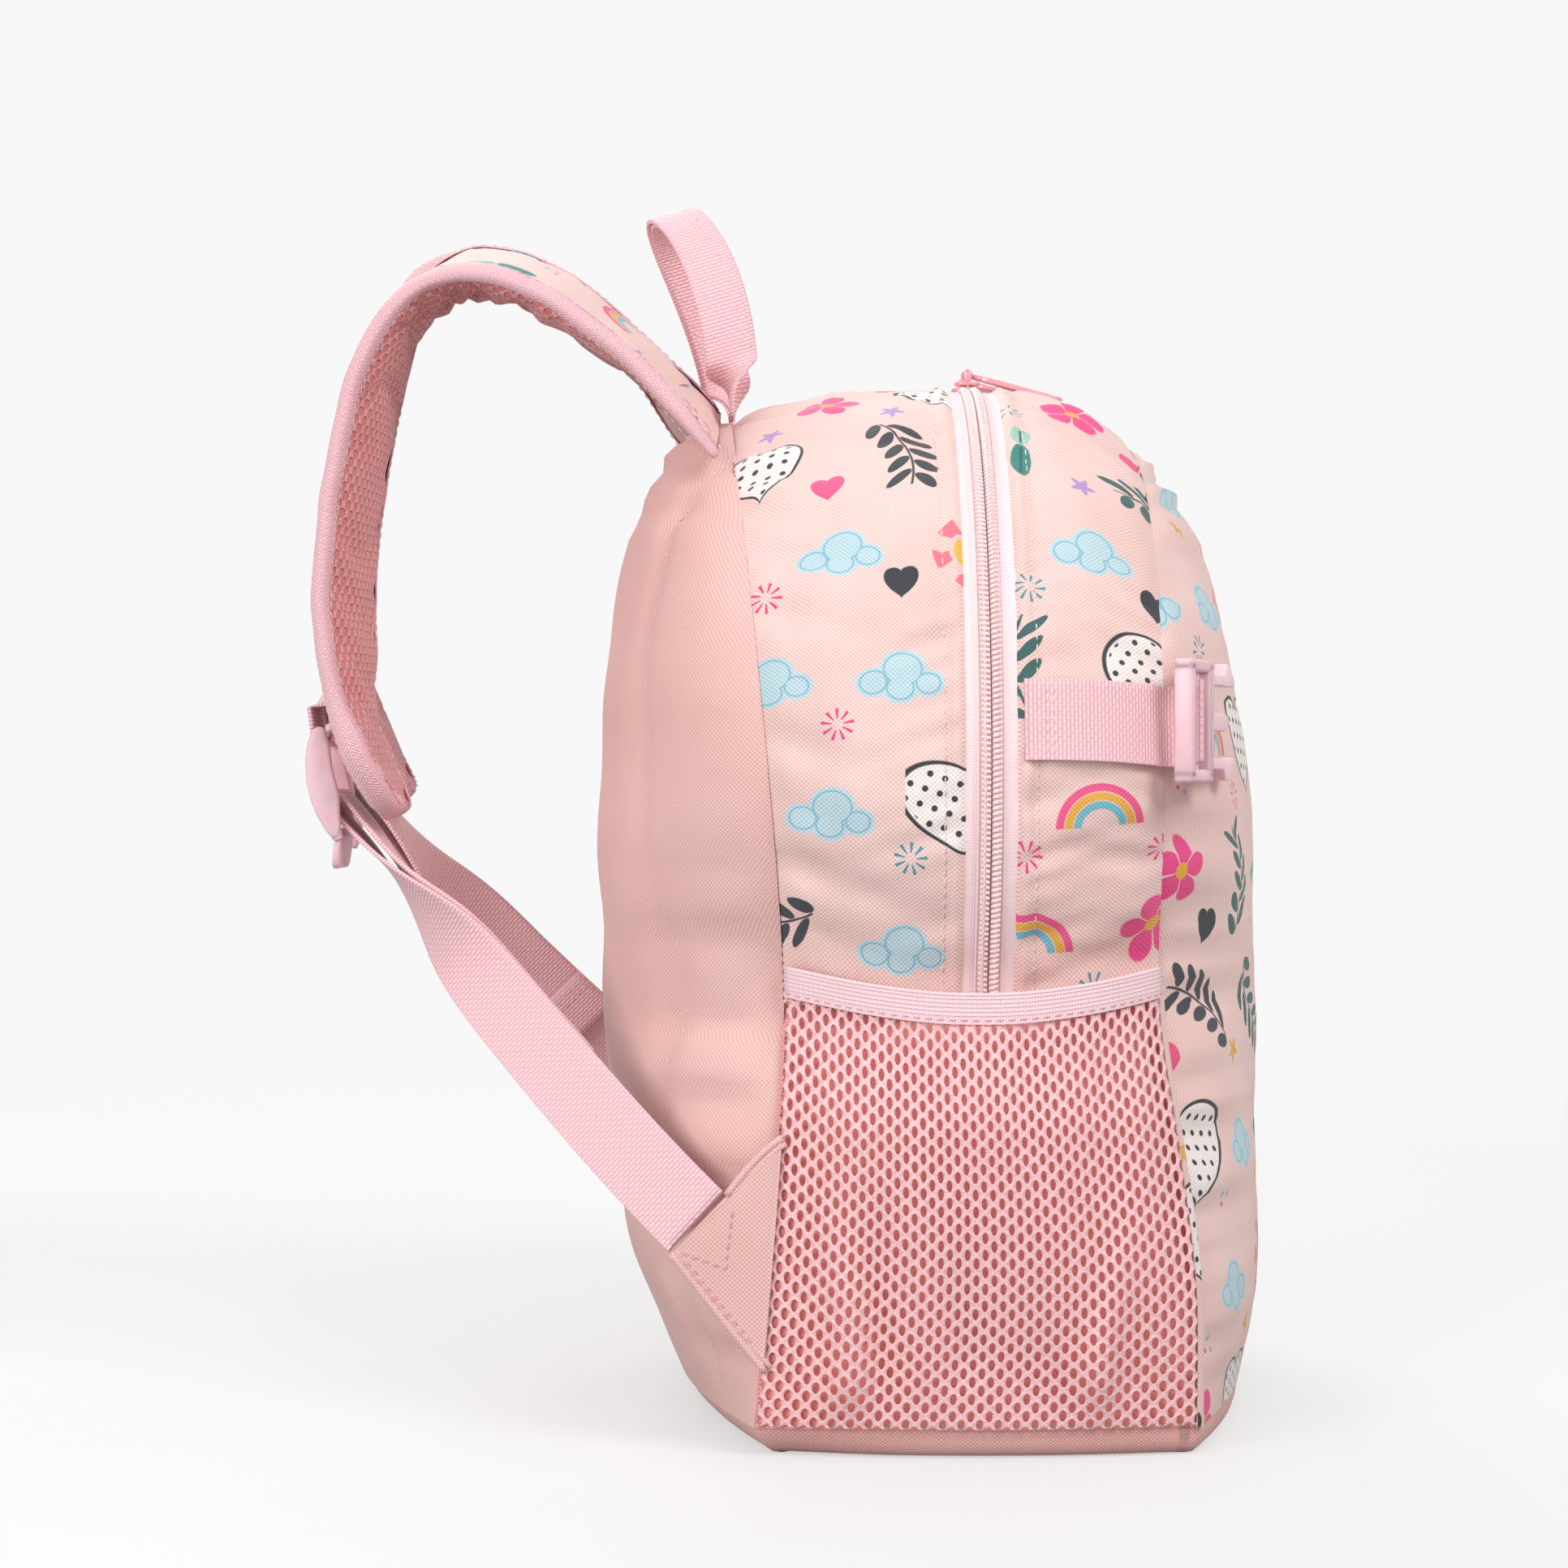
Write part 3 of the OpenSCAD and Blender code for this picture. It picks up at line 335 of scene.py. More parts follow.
def scatter(name, C, X, Y, Z, size, mat, n=6, rings=4):
    """One small ball at each place, with its three directions and half sizes."""
    V, F = pill(n, rings)
    P = C[:, None]
    for k, D in enumerate((X, Y, Z)):
        P = P + D[:, None] * V[None, :, k : k + 1] * size[k]
    k = len(V)
    faces = [[v + i * k for v in f] for i in range(len(C)) for f in F]
    return make(name, P.reshape(-1, 3), faces, mat, np.zeros((len(C) * k, 2)))


def at_length(P, s, q):
    """Values of the rows P, which stand at lengths s, at the lengths q."""
    return np.stack([np.interp(q, s, P[:, i]) for i in range(3)], -1)


def resample(P, step):
    P = np.asarray(P, float)
    s = run(P)
    return at_length(P, s, np.linspace(0, s[-1], max(2, int(round(s[-1] / step)) + 1)))


def stitches(name, P, N, mat, length=2.6, gap=1.0, r=0.28, lift=0.1):
    """A row of thread stitches along a line on a surface with normals N."""
    P, N = np.asarray(P, float), np.asarray(N, float)
    s = run(P)
    q = np.arange((length + gap) / 2, s[-1], length + gap)
    N = unit(at_length(N, s, q))
    ahead, behind = (at_length(P, s, np.clip(q + k, 0, s[-1])) for k in (0.7, -0.7))
    D = unit(ahead - behind)
    C = at_length(P, s, q) + N * lift
    return scatter(name, C, D, unit(np.cross(N, D)), N, (length / 2, r, r * 0.8), mat, 5, 4)


def join(name, objs):
    bpy.ops.object.select_all(action="DESELECT")
    for o in objs:
        o.select_set(True)
    bpy.context.view_layer.objects.active = objs[0]
    bpy.ops.object.join()
    objs[0].name = name
    objs[0].data.name = name
    return objs[0]


def slotted(o, replaced):
    if replaced:
        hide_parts(*replaced)
    return o


def put(o, body, slot, *replaced):
    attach(o, body)
    return slotted(o, replaced)


def over_fold(o, slot, *replaced):
    """A piece of the front: its place is baked into its mesh, and the parts it replaces are hidden."""
    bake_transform(o)
    return slotted(o, replaced)


def smooth(o):
    for p in o.data.polygons:
        p.use_smooth = True
    o.data.update()
    return o


def finish_mods(o):
    """Applies every modifier, so that the mesh is final, and smooths it."""
    deps = bpy.context.evaluated_depsgraph_get()
    me = bpy.data.meshes.new_from_object(o.evaluated_get(deps))
    old = o.data
    o.modifiers.clear()
    o.data = me
    bpy.data.meshes.remove(old)
    return smooth(o)


def bevelled(o, w, seg):
    m = o.modifiers.new("bevel", "BEVEL")
    m.width, m.segments, m.limit_method, m.angle_limit = w * MM, seg, "ANGLE", math.radians(35)
    return finish_mods(o)


# ---------------------------------------------------------------- materials
def node(tree, kind, inputs=(), **settings):
    """A shader node; each input is a constant, or the socket or Num that feeds it."""
    n = tree.nodes.new("ShaderNode" + kind)
    for k, v in settings.items():
        setattr(n, k, v)
    for slot, v in dict(inputs).items():
        v = getattr(v, "o", v)
        if isinstance(v, bpy.types.NodeSocket):
            tree.links.new(v, n.inputs[slot])
        else:
            n.inputs[slot].default_value = v
    return n


class Num:
    """A value in a material's node tree, with arithmetic."""

    def __init__(self, tree, socket):
        self.t, self.o = tree, socket

    def op(self, kind, *rest):
        n = node(self.t, "Math", enumerate((self, *rest)), operation=kind)
        return Num(self.t, n.outputs[0])

    def flip(self):
        """1 less the value."""
        return self * -1.0 + 1.0

    def near(self, a, b):
        """1 below a, falling smoothly to 0 at b."""
        n = node(self.t, "MapRange", enumerate((self, a, b, 1, 0)), interpolation_type="SMOOTHSTEP")
        return Num(self.t, n.outputs[0])


OPERATIONS = {
    "__add__": "ADD",
    "__sub__": "SUBTRACT",
    "__mul__": "MULTIPLY",
    "__truediv__": "DIVIDE",
    "sin": "SINE",
    "cos": "COSINE",
    "abs": "ABSOLUTE",
    "floor": "FLOOR",
    "sqrt": "SQRT",
    "sign": "SIGN",
    "pow": "POWER",
    "min": "MINIMUM",
    "max": "MAXIMUM",
    "mod": "FLOORED_MODULO",
    "zig": "PINGPONG",
    "atan2": "ARCTAN2",
}
for name, kind in OPERATIONS.items():
    setattr(Num, name, lambda self, *rest, kind=kind: self.op(kind, *rest))


def hexcol(h):
    c = [int(h[i : i + 2], 16) / 255 for i in (1, 3, 5)]
    return tuple(x / 12.92 if x < 0.04045 else ((x + 0.055) / 1.055) ** 2.4 for x in c) + (1,)


class Mat:
    """A material with its shader, its map in metres and helpers for noise, colour and bump."""

    def __init__(self, name, rough=0.7, **inputs):
        self.m = bpy.data.materials.new(name)
        self.m.use_nodes = True
        self.t = self.m.node_tree
        self.b = self.t.nodes["Principled BSDF"]
        self.b.inputs["Roughness"].default_value = rough
        for k, v in inputs.items():
            self.b.inputs[k.replace("_", " ")].default_value = v
        self.uv = node(self.t, "UVMap", uv_map="UVMap").outputs[0]
        sep = node(self.t, "SeparateXYZ", {0: self.uv})
        self.u, self.v = Num(self.t, sep.outputs[0]), Num(self.t, sep.outputs[1])

    def noise(self, size, detail=3.0, obj=True):
        at = node(self.t, "TexCoord").outputs["Object"] if obj else self.uv
        n = node(self.t, "TexNoise", {"Scale": 1 / size, "Detail": detail, "Vector": at})
        return Num(self.t, n.outputs[0])

    def white(self, a, b, seed):
        at = node(self.t, "CombineXYZ", enumerate((a, b, seed))).outputs[0]
        return Num(self.t, node(self.t, "TexWhiteNoise", {"Vector": at}).outputs[0])

    def mix(self, fac, a, b, blend="MIX"):
        a, b = (hexcol(x) if isinstance(x, str) else x for x in (a, b))
        return node(self.t, "Mix", {0: fac, 6: a, 7: b}, data_type="RGBA", blend_type=blend).outputs[2]

    def bump(self, h, dist, strength):
        return node(self.t, "Bump", {"Strength": strength, "Distance": dist, "Height": h}).outputs[0]

    def done(self, colour, normal=None, rough=None):
        for slot, x in (("Base Color", colour), ("Normal", normal), ("Roughness", rough)):
            if x is not None:
                self.t.links.new(getattr(x, "o", x), self.b.inputs[slot])
        return self.m


def motifs(k, base, seed, kinds, shift=(0.0, 0.0), grow=1.0):
    """Scattered generic drawings over a base colour: one in each cell, turned and shifted at random."""
    u, v = k.u / PRINT_CELL + shift[0], k.v / PRINT_CELL + shift[1]
    row = v.floor()
    u = u + row.mod(2.0) * 0.5
    cu = u.floor()
    rnd = lambda s: k.white(cu, row, s + seed)
    x = (u - cu - 0.5 - (rnd(1.0) - 0.5) * 0.1) / grow
    y = (v - row - 0.5 - (rnd(2.0) - 0.5) * 0.1) / grow
    ang = rnd(3.0) * TAU
    ca, sa = ang.cos(), ang.sin()
    px, py = x * ca + y * sa, y * ca - x * sa
    pick = rnd(4.0)
    r = (x * x + y * y).sqrt()
    th = py.atan2(px)
    col = base
    n = len(kinds)
    for i, kind in enumerate(kinds):
        on = (pick * n - (i + 0.5)).abs().near(0.498, 0.502)
        col = kind(k, col, on, px, py, x, y, r, th)
    return col


# softness of the drawings' edges in cells, the cell of the print in metres, the outlines' colour
AA = 0.012
PRINT_CELL = 0.043
INK = "#3b3f44"


def heart_dist(x, y):
    """Below zero inside a heart of about 0.7 wide."""
    ax = x.abs() / 0.36
    h = y / 0.34 + 0.12
    t = h - ax.sqrt() * 0.62
    return ((ax * ax + t * t).sqrt() - 0.95) * 0.33


def dotted_heart(k, col, on, px, py, x, y, r, th):
    d = heart_dist(px * 0.25 + x * 0.9, y + 0.02)
    du, dv = (px * 9.0).mod(1.0) - 0.5, (py * 9.0).mod(1.0) - 0.5
    dots = (du * du + dv * dv).sqrt().near(0.17, 0.24)
    col = k.mix(d.near(-AA, AA) * on, col, "#f6f3f0")
    col = k.mix(dots * d.near(-0.03, -0.02) * on, col, INK)
    return k.mix(d.abs().near(0.008, 0.017) * on, col, INK)


def tiny_heart(shade):
    def draw(k, col, on, px, py, x, y, r, th):
        return k.mix(heart_dist(x * 1.15, y * 1.15).near(-AA, AA) * on, col, shade)

    return draw


def sprig(shade):
    """A bent stem with slanting leaves in pairs."""

    def draw(k, col, on, px, py, x, y, r, th):
        yy = py - (px * px * 0.6 - 0.05)
        side = yy.abs()
        stem = side.near(0.006, 0.014) * (px + 0.02).abs().near(0.4, 0.41)
        q = px * 6.2 - side * 4.6 + yy.sign() * 0.18
        whole = (q.floor() + 1.0).abs().near(2.2, 2.3)
        q = q.mod(1.0) - 0.5
        long = (side - 0.105) / 0.095
        leaf = ((q / 0.36) * (q / 0.36) + long * long).near(0.85, 1.08) * whole
        return k.mix(stem.max(leaf) * on, col, shade)

    return draw


def cloud_shape(k, col, on, px, py, x, y, r, th):
    """A pale blue cloud with a thin darker line inside."""
    d = None
    puffs = (-0.2, -0.04, 0.12), (-0.02, 0.06, 0.17), (0.19, -0.03, 0.13), (0.0, -0.08, 0.13)
    for cx, cy, rad in puffs:
        a, b = x - cx, (y - cy) * 1.15
        e = (a * a + b * b).sqrt() - rad
        d = e if d is None else d.min(e)
    col = k.mix(d.near(-AA, AA) * on, col, "#bfe0ea")
    return k.mix((d + 0.035).abs().near(0.004, 0.011) * on, col, "#8fc4d6")


def sun(k, col, on, px, py, x, y, r, th):
    col = k.mix(r.near(0.15, 0.165) * on, col, "#f0bf4c")
    ray = (th * 6.0).sin().near(-0.2, 0.2)
    return k.mix(ray * (r - 0.25).abs().near(0.055, 0.068) * on, col, "#ef7f8f")


def flower(shade, heart="#e9b23c"):
    def draw(k, col, on, px, py, x, y, r, th):
        edge = (th * 5.0 / 2.0).sin().abs().pow(0.45) * 0.17 + 0.09
        petals = (r - edge).near(-AA, AA) * r.near(0.3, 0.31)
        gaps = (th * 5.0 / 2.0).sin().abs().near(0.04, 0.2)
        col = k.mix(petals * gaps.flip() * on, col, shade)
        return k.mix(r.near(0.055, 0.07) * on, col, heart)

    return draw


def burst(shade):
    def draw(k, col, on, px, py, x, y, r, th):
        ray = (th * 4.5).sin().abs()
        fan = ray.near(0.35, 0.6) * (r - 0.19).abs().near(0.085, 0.1)
        return k.mix(fan * on, col, shade)

    return draw


def star(shade):
    def draw(k, col, on, px, py, x, y, r, th):
        a = (th / TAU * 5.0).mod(1.0)
        a = (a - 0.5).abs() * 2.0
        edge = a.pow(1.4) * 0.15 + 0.105
        return k.mix((r - edge).near(-AA, AA) * on, col, shade)

    return draw


def rainbow(k, col, on, px, py, x, y, r, th):
    top = (y + 0.1).near(0.0, 0.01)
    r2 = (x * x + (y + 0.1) * (y + 0.1)).sqrt()
    for rad, shade in ((0.3, "#ef5f93"), (0.235, "#eab54a"), (0.17, "#79c3d8")):
        band = (r2 - rad).abs().near(0.024, 0.034)
        col = k.mix(band * top.flip() * on, col, shade)
    return col


def leaves(k, col, on, px, py, x, y, r, th):
    for s, shade in ((1.0, "#9fd0bf"), (-1.0, "#3f8f88")):
        a = px - 0.17 * s
        body = (a * a / 0.03 + py * py / 0.0062).near(0.85, 1.1)
        vein = py.abs().near(0.006, 0.012) * a.abs().near(0.13, 0.14)
        col = k.mix(body * on, col, shade)
        col = k.mix(vein * on, col, "#2f6763")
    return col


def spots(k, col, on, px, py, x, y, r, th):
    for dx, dy, rad, shade in (
        (0.1, 0.08, 0.055, "#69bfe0"),
        (-0.12, 0.02, 0.045, "#ef4f93"),
        (0.02, -0.14, 0.05, "#c5a7dc"),
    ):
        d = ((px - dx) * (px - dx) + (py - dy) * (py - dy)).sqrt()
        col = k.mix((d - rad).near(-AA, AA) * on, col, shade)
    return col


SMALL_MOTIFS = [
    star("#eab54a"),
    spots,
    burst("#ec4b8c"),
    tiny_heart(INK),
    burst("#4f9fae"),
    tiny_heart("#ef5f93"),
    star("#b79bd6"),
    spots,
]
BIG_MOTIFS = [
    dotted_heart,
    sprig("#3f6a68"),
    leaves,
    cloud_shape,
    flower("#ef4f93"),
    rainbow,
    sprig("#454a50"),
    cloud_shape,
    sun,
]


def fabric(name, shade, dark, light, pitch=1.5, depth=0.16, printed=False, rough=0.68):
    """Oxford weave: small staggered yarns, a little sheen, worn lighter in soft patches."""
    k = Mat(name, rough, Sheen_Weight=0.18, Sheen_Roughness=0.5, Specular_IOR_Level=0.32)
    p = pitch * MM
    a, b = (k.u * (TAU / p)).sin(), (k.v * (TAU / (p * 0.94))).sin()
    weave = a * b * 0.5 + 0.5
    yarn = k.noise(0.0011, 2, obj=False)
    cloud = k.noise(0.045, 3)
    col = k.mix(cloud.near(0.3, 0.7), light, shade)
    if printed:
        col = motifs(k, col, 40.0, SMALL_MOTIFS, (0.5, 0.36), 0.42)
        col = motifs(k, col, 12.0, BIG_MOTIFS)
        col = k.mix(k.u.near(4.0, 4.01), "#efd9d5", col)
    # the hollows between the yarns are multiplied towards the dark colour: painted shade in the weave
    col = k.mix(0.55, col, k.mix(weave, dark, "#ffffff"), "MULTIPLY")
    return k.done(col, k.bump(weave + yarn * 0.45, depth * MM, 0.75))


def webbing_mat(name, shade, dark, rib=1.25, peb=2.6, depth=0.28, zigzag=0.0):
    """Ribs across the tape broken into pebbles, or a herringbone where zigzag is set."""
    k = Mat(name, 0.6, Sheen_Weight=0.25, Sheen_Roughness=0.4, Specular_IOR_Level=0.35)
    v = k.v
    if zigzag:
        v = v + k.u.zig(zigzag * MM)
    row = v / (rib * MM)
    h = (row * math.pi).sin().abs()
    q = (k.u / (peb * MM) + row.floor().mod(2.0) * 0.5) * math.pi
    h = h * (q.sin().abs().pow(0.6) * 0.75 + 0.25)
    fuzz = k.noise(0.0006, 2)
    # the grooves between the ribs and pebbles take the dark colour: painted shade in the hollows
    col = k.mix(h.pow(0.7), dark, shade)
    return k.done(col, k.bump(h + fuzz * 0.35, depth * MM, 0.9))


def air_mesh_mat(name, shade, hole, pu=3.5, pv=4.6, r=0.30):
    """Knitted spacer mesh: staggered long holes between shiny threads."""
    k = Mat(name, 0.5, Sheen_Weight=0.35, Sheen_Roughness=0.35, Specular_IOR_Level=0.45)
    d = None
    for s in (0.0, 0.5):
        a = (k.u / (pu * MM) + s).mod(1.0) - 0.5
        b = (k.v / (pv * MM) + s).mod(1.0) - 0.5
        e = (a * a + b * b * 1.1).sqrt()
        d = e if d is None else d.min(e)
    hole_k = d.near(r - 0.09, r + 0.05)
    thread = (k.v / (0.7 * MM) + (k.u / (0.9 * MM)).floor() * 0.5) * TAU
    twist = thread.sin() * 0.5 + 0.5
    # the holes take a darker red, the inner layer's own colour with painted shade in the openings, and
    # the troughs of the thread twist a darker pink, painted shade between the twists
    col = k.mix(hole_k, k.mix(twist, "#e08a8c", shade), hole)
    h = hole_k.flip() * 1.6 + twist * 0.25
    return k.done(col, k.bump(h, 0.5 * MM, 1.0))


def plastic(name, shade, deep):
    k = Mat(name, 0.34, Subsurface_Weight=0.35, Subsurface_Scale=0.004, Transmission_Weight=0.12)
    k.b.inputs["Specular IOR Level"].default_value = 0.5
    k.b.inputs["Subsurface Radius"].default_value = (1.0, 0.55, 0.5)
    tone, grain = k.noise(0.012, 2), k.noise(0.0009, 2)
    col = k.mix(tone.near(0.25, 0.75), shade, deep)
    return k.done(col, k.bump(grain, 0.02 * MM, 0.35), grain * 0.14 + 0.27)


def enamel(name, shade, wear):
    """Painted metal with fine scuffs, and bare edges where it rubs."""
    k = Mat(name, 0.3, Coat_Weight=0.3, Coat_Roughness=0.25, Metallic=0.25)
    edge = Num(k.t, node(k.t, "NewGeometry").outputs["Pointiness"])
    scuff = k.noise(0.002, 3)
    worn = (edge + scuff * 0.05).near(0.575, 0.62)
    worn = worn.flip()
    return k.done(k.mix(worn, shade, wear), k.bump(scuff, 0.02 * MM, 0.4), scuff * 0.2 + 0.2)


M_PRINT = fabric("print_fabric", "#efcfc9", "#c9a19b", "#f4d8d2", printed=True)
M_PLAIN = fabric("plain_fabric", "#ebc2bc", "#c69893", "#efc9c3")
M_BASE = fabric("base_fabric", "#e5b3ac", "#bd8a85", "#eabbb4")
# the side panels are plain pink fabric; this darker coral tint is painted shade and bounce light from
# the pocket nets
M_SIDE_BOUNCE = fabric("side_lining_bounce_tint", "#f8aba8", "#e89492", "#fab5b1")
M_WEB = webbing_mat("webbing", "#f5cdd2", "#dca0a9")
M_FARWEB = webbing_mat("binding_rib", "#f6cad1", "#dda0aa", rib=1.3, peb=2.2, zigzag=2.4)
M_ELASTIC = webbing_mat("elastic_band", "#f7dadf", "#e9c0c8", rib=0.9, peb=1.3, depth=0.14)
M_TAPE = webbing_mat("zip_tape", "#f6dfe1", "#e9c8cc", rib=0.8, peb=1.2, depth=0.08)
M_MESH = air_mesh_mat("air_mesh", "#f6c1bf", "#df7f7f", 4.2, 5.6, 0.31)
M_PLASTIC = plastic("pink_plastic", "#f8d3da", "#f2c2cc")
M_LOCK = plastic("lock_plastic", "#f3cdd6", "#eabdc9")
M_METAL = enamel("zip_enamel", "#eda3ad", "#f5dcd9")


def thread_mat(name, shade, dark):
    k = Mat(name, 0.55, Sheen_Weight=0.2)
    twist = k.noise(0.0006, 2)
    return k.done(k.mix(twist.near(0.3, 0.7), shade, dark), k.bump(twist, 0.1 * MM, 0.6))


M_PALE = thread_mat("thread_pale", "#f7dfdc", "#e3b5b4")
M_PINK = thread_mat("thread_pink", "#eea9b4", "#dd8d9a")
M_DARK = thread_mat("thread_dark", "#b0555c", "#8f3d45")
M_NET = thread_mat("pocket_yarn", "#f8cfcf", "#ebacad")
M_COIL = thread_mat("coil_yarn", "#fbe6e6", "#f3d0d2")
M_CARD = thread_mat("base_card", "#c9b7a6", "#b5a18e")


# ---------------------------------------------------------------- body
# back panel: rows from the base tray to the top, columns across
def panel_grid(part, nz=74, nu=61):
    off = REAR_DROP if part == "rear" else FRONT_DROP
    half = nz // 2
    rows = BASE_H + (arc_end(off) - BASE_H) * np.arange(half) / half
    a = np.linspace(ARCH_A, 2.2, nz - half)
    W = np.concatenate([half_w(rows, off * drop_k(rows)), (ARCH_R - off) * sind(a)])[:, None]
    z = np.concatenate([rows, ARCH_Z + (ARCH_R - off) * cosd(a)])
    U, Z = np.meshgrid(sind(np.linspace(-90, 90, nu)), z)
    Y = rear_y(U, Z) if part == "rear" else front_y(U, Z)
    P = np.stack([U * W, Y, Z], -1)
    # how far each point is from the panel's sewn edge
    top = ARCH_R - off - np.sqrt(np.maximum(P[..., 0] ** 2 + (Z - ARCH_Z) ** 2, 1))
    edge = np.minimum((1 - np.abs(U)) * W, np.where(Z > ARCH_Z, top, FAR))
    return P, U, Z, np.maximum(edge, 0)


def pucker(edge, seed, amp, pitch, reach, v):
    """Height of the short gathers that run in from a sewn edge at a distance, v along the edge."""
    n = waves(v, v * 0, seed, pitch, 6)
    n = n - 0.5 * np.abs(n)
    fan = np.exp(-edge / reach) * (1 - np.exp(-edge / 4.0))
    return amp * fan * n * 2.6


def calm_foot(h, Z):
    """Heights of folds that fade out towards the base tray."""
    return np.where(Z < BASE_H + FOOT_CALM, h * ease((Z - BASE_H) / FOOT_CALM), h)


def side_len(P):
    """Length along the sides of a panel's rows, the same for each column."""
    return run(P[:, 0])[:, None] * np.ones((1, P.shape[1]))


def back_shape():
    P, U, Z, edge = panel_grid("rear")
    X, N = P[..., 0], -normals(P)
    h = pucker(edge, 3, 1.0, 15, 22, side_len(P) * np.sign(U + 1e-9) + 40)
    h += waves(X, P[..., 2], 5, 70) * 1.3 * ease(edge / 30)
    # the padded middle stands out behind a stitched line
    inside = pad_edge(Z) - np.abs(X)
    h += 1.5 * ease((inside - 1.5) / 9) - 1.7 * np.exp(-((inside / 3.0) ** 2)) * (Z < 318)
    h -= 1.3 * np.exp(-edge / 2.2)
    return P + N * calm_foot(h, Z)[..., None]


def pad_edge(z):
    """Half width of the padded middle of the back at a height."""
    return 84 - 22 * power((z - 200) / 130, 1.6) + 3 * ease((80 - z) / 80)


P = back_shape()
back = shell("back_panel_fabric", P, M_PLAIN, 1.4, flip=True)
put(back, "bag_body", "plain_fabric", "back_panel", "back_foam")


def surface_line(P, xs, zs):
    """Points and outward normals on the back's grid at chosen widths and heights."""
    N = -normals(P)
    pts, nor = [], []
    for x, z in zip(xs, zs):
        i = np.argmin(np.abs(P[:, P.shape[1] // 2, 2] - z))
        j = np.argmin(np.abs(P[i, :, 0] - x))
        j2 = np.clip(j + (1 if P[i, j, 0] < x else -1), 0, P.shape[1] - 1)
        i2 = np.clip(i + (1 if P[i, j, 2] < z else -1), 0, len(P) - 1)
        dx, dz = P[i, j2, 0] - P[i, j, 0], P[i2, j, 2] - P[i, j, 2]
        t = 0 if dx == 0 else (x - P[i, j, 0]) / dx
        s = 0 if dz == 0 else (z - P[i, j, 2]) / dz
        pts.append(mix(mix(P[i, j], P[i, j2], t), mix(P[i2, j], P[i2, j2], t), np.clip(s, 0, 1)))
        nor.append(N[i, j])
    return np.array(pts), np.array(nor)


zs = np.linspace(14, 316, 90)
for s, side in SIDES:
    L, LN = surface_line(P, s * pad_edge(zs), zs)
    row = stitches("back_stitch_" + side, L, LN, M_PALE, 2.4, 1.2, 0.22, -0.1)
    put(row, "bag_body", "plain_fabric")


# gussets: q runs along the zip, f from the zip's edge to the seam
def band_shape(part, nq=250, nf=19):
    """Points of a gusset, and their distances from the zip's edge and along the zip."""
    rear, seed = part == "rear", 1 if part == "rear" else 2
    q = np.linspace(-Q_LOW, Q_LOW, nq)[:, None]
    f = np.concatenate([[0, 0.012, 0.035, 0.06, 0.09], np.linspace(0.13, 1, nf - 5)])[None]
    a = np.clip(np.abs(q), 0, ARC_LEN) / ARCH_R * 180 / math.pi
    low = arc_end(0) - (np.abs(q) - ARC_LEN)
    z = np.where(np.abs(q) < ARC_LEN, ARCH_Z + (ARCH_R - 5) * cosd(a), low)
    width = np.abs(band_y(1.0, part, z) - band_y(0.0, part, z))
    d, e = f * width, (1 - f) * width
    slant = d * (0.35 if rear else -0.3)
    h = pucker(d, 10 + seed, 0.7, 12, 14, q + slant)
    h += pucker(e, 20 + seed, 1.3, 17, 17, q - slant)
    soft = np.minimum(ease(d / 12), ease(e / 12))
    h += waves(q + 0 * f, d * 1.6, 30 + seed, 48) * 1.2 * soft
    h += 2.4 * np.sin(math.pi * f) ** 0.8
    # a folded hem beside the zip, and the seam's dip
    h += 1.4 * np.exp(-(((d - 2.2) / 2.0) ** 2)) - 0.8 * np.exp(-(((d - HEM) / 1.3) ** 2))
    h -= 0.9 * np.exp(-d / 0.35) + 1.9 * np.exp(-e / 2.2)
    y = band_y(f, part, z) + (-0.6 if rear else 0.6) * (f < 0.001)
    return round_at(q + 0 * f, y, h), d, q + 0 * d


def band_line(P, d):
    """The line of a gusset's hem stitches, with its normals."""
    N = facing(normals(P), P - np.array([0, ZIP_Y, 200.0]))
    line = lambda A: np.array([[np.interp(HEM, x, a[:, k]) for k in range(3)] for x, a in zip(d, A)])
    return line(P), line(N)


# each gusset reaches past the arch's end, and its hem is sewn this far from the zip's edge
Q_LOW, HEM = ARC_LEN + 16, 5.8
P, d, q = band_shape("rear")
rear = shell("rear_gusset_fabric", P, M_PRINT, 1.2, True, np.stack([d, q], -1) + 1100)
put(rear, "bag_body", "printed_fabric", "rear_gusset")
row = stitches("zip_stitch_rear", *band_line(P, d), M_PALE, 2.5, 1.1, 0.3, 0.0)
put(row, "bag_body", "printed_fabric")
# thread that shows in the rear seam
L, LN = P[:, -1], normals(P)[:, -2]
LN = facing(LN, L - np.array([0, 60.0, 200.0]))
row = stitches("seam_thread_rear", L, LN, M_DARK, 1.1, 1.7, 0.28, 0.25)
put(row, "bag_body", "plain_fabric")

P, d, q = band_shape("front")
band = shell("front_gusset_fabric", P, M_PRINT, 1.2, False, np.stack([-d, q], -1) + 1830)
over_fold(band, "printed_fabric", "front_gusset")
row = stitches("zip_stitch_front", *band_line(P, d), M_PALE, 2.5, 1.1, 0.3, 0.0)
over_fold(row, "printed_fabric")


# front panel: one sheet from the base to the top seam, bending at the fold
def front_shape():
    P, U, Z, edge = panel_grid("front")
    N = normals(P)
    N = N * np.where(N[..., 1:2] > 0, -1, 1)
    h = pucker(edge, 41, 1.5, 17, 24, side_len(P) * np.sign(U + 1e-9) + 17)
    h += waves(P[..., 0], Z, 43, 75) * 1.5 * ease(edge / 30)
    h -= 2.0 * np.exp(-edge / 2.4)
    return P + N * calm_foot(h, Z)[..., None]


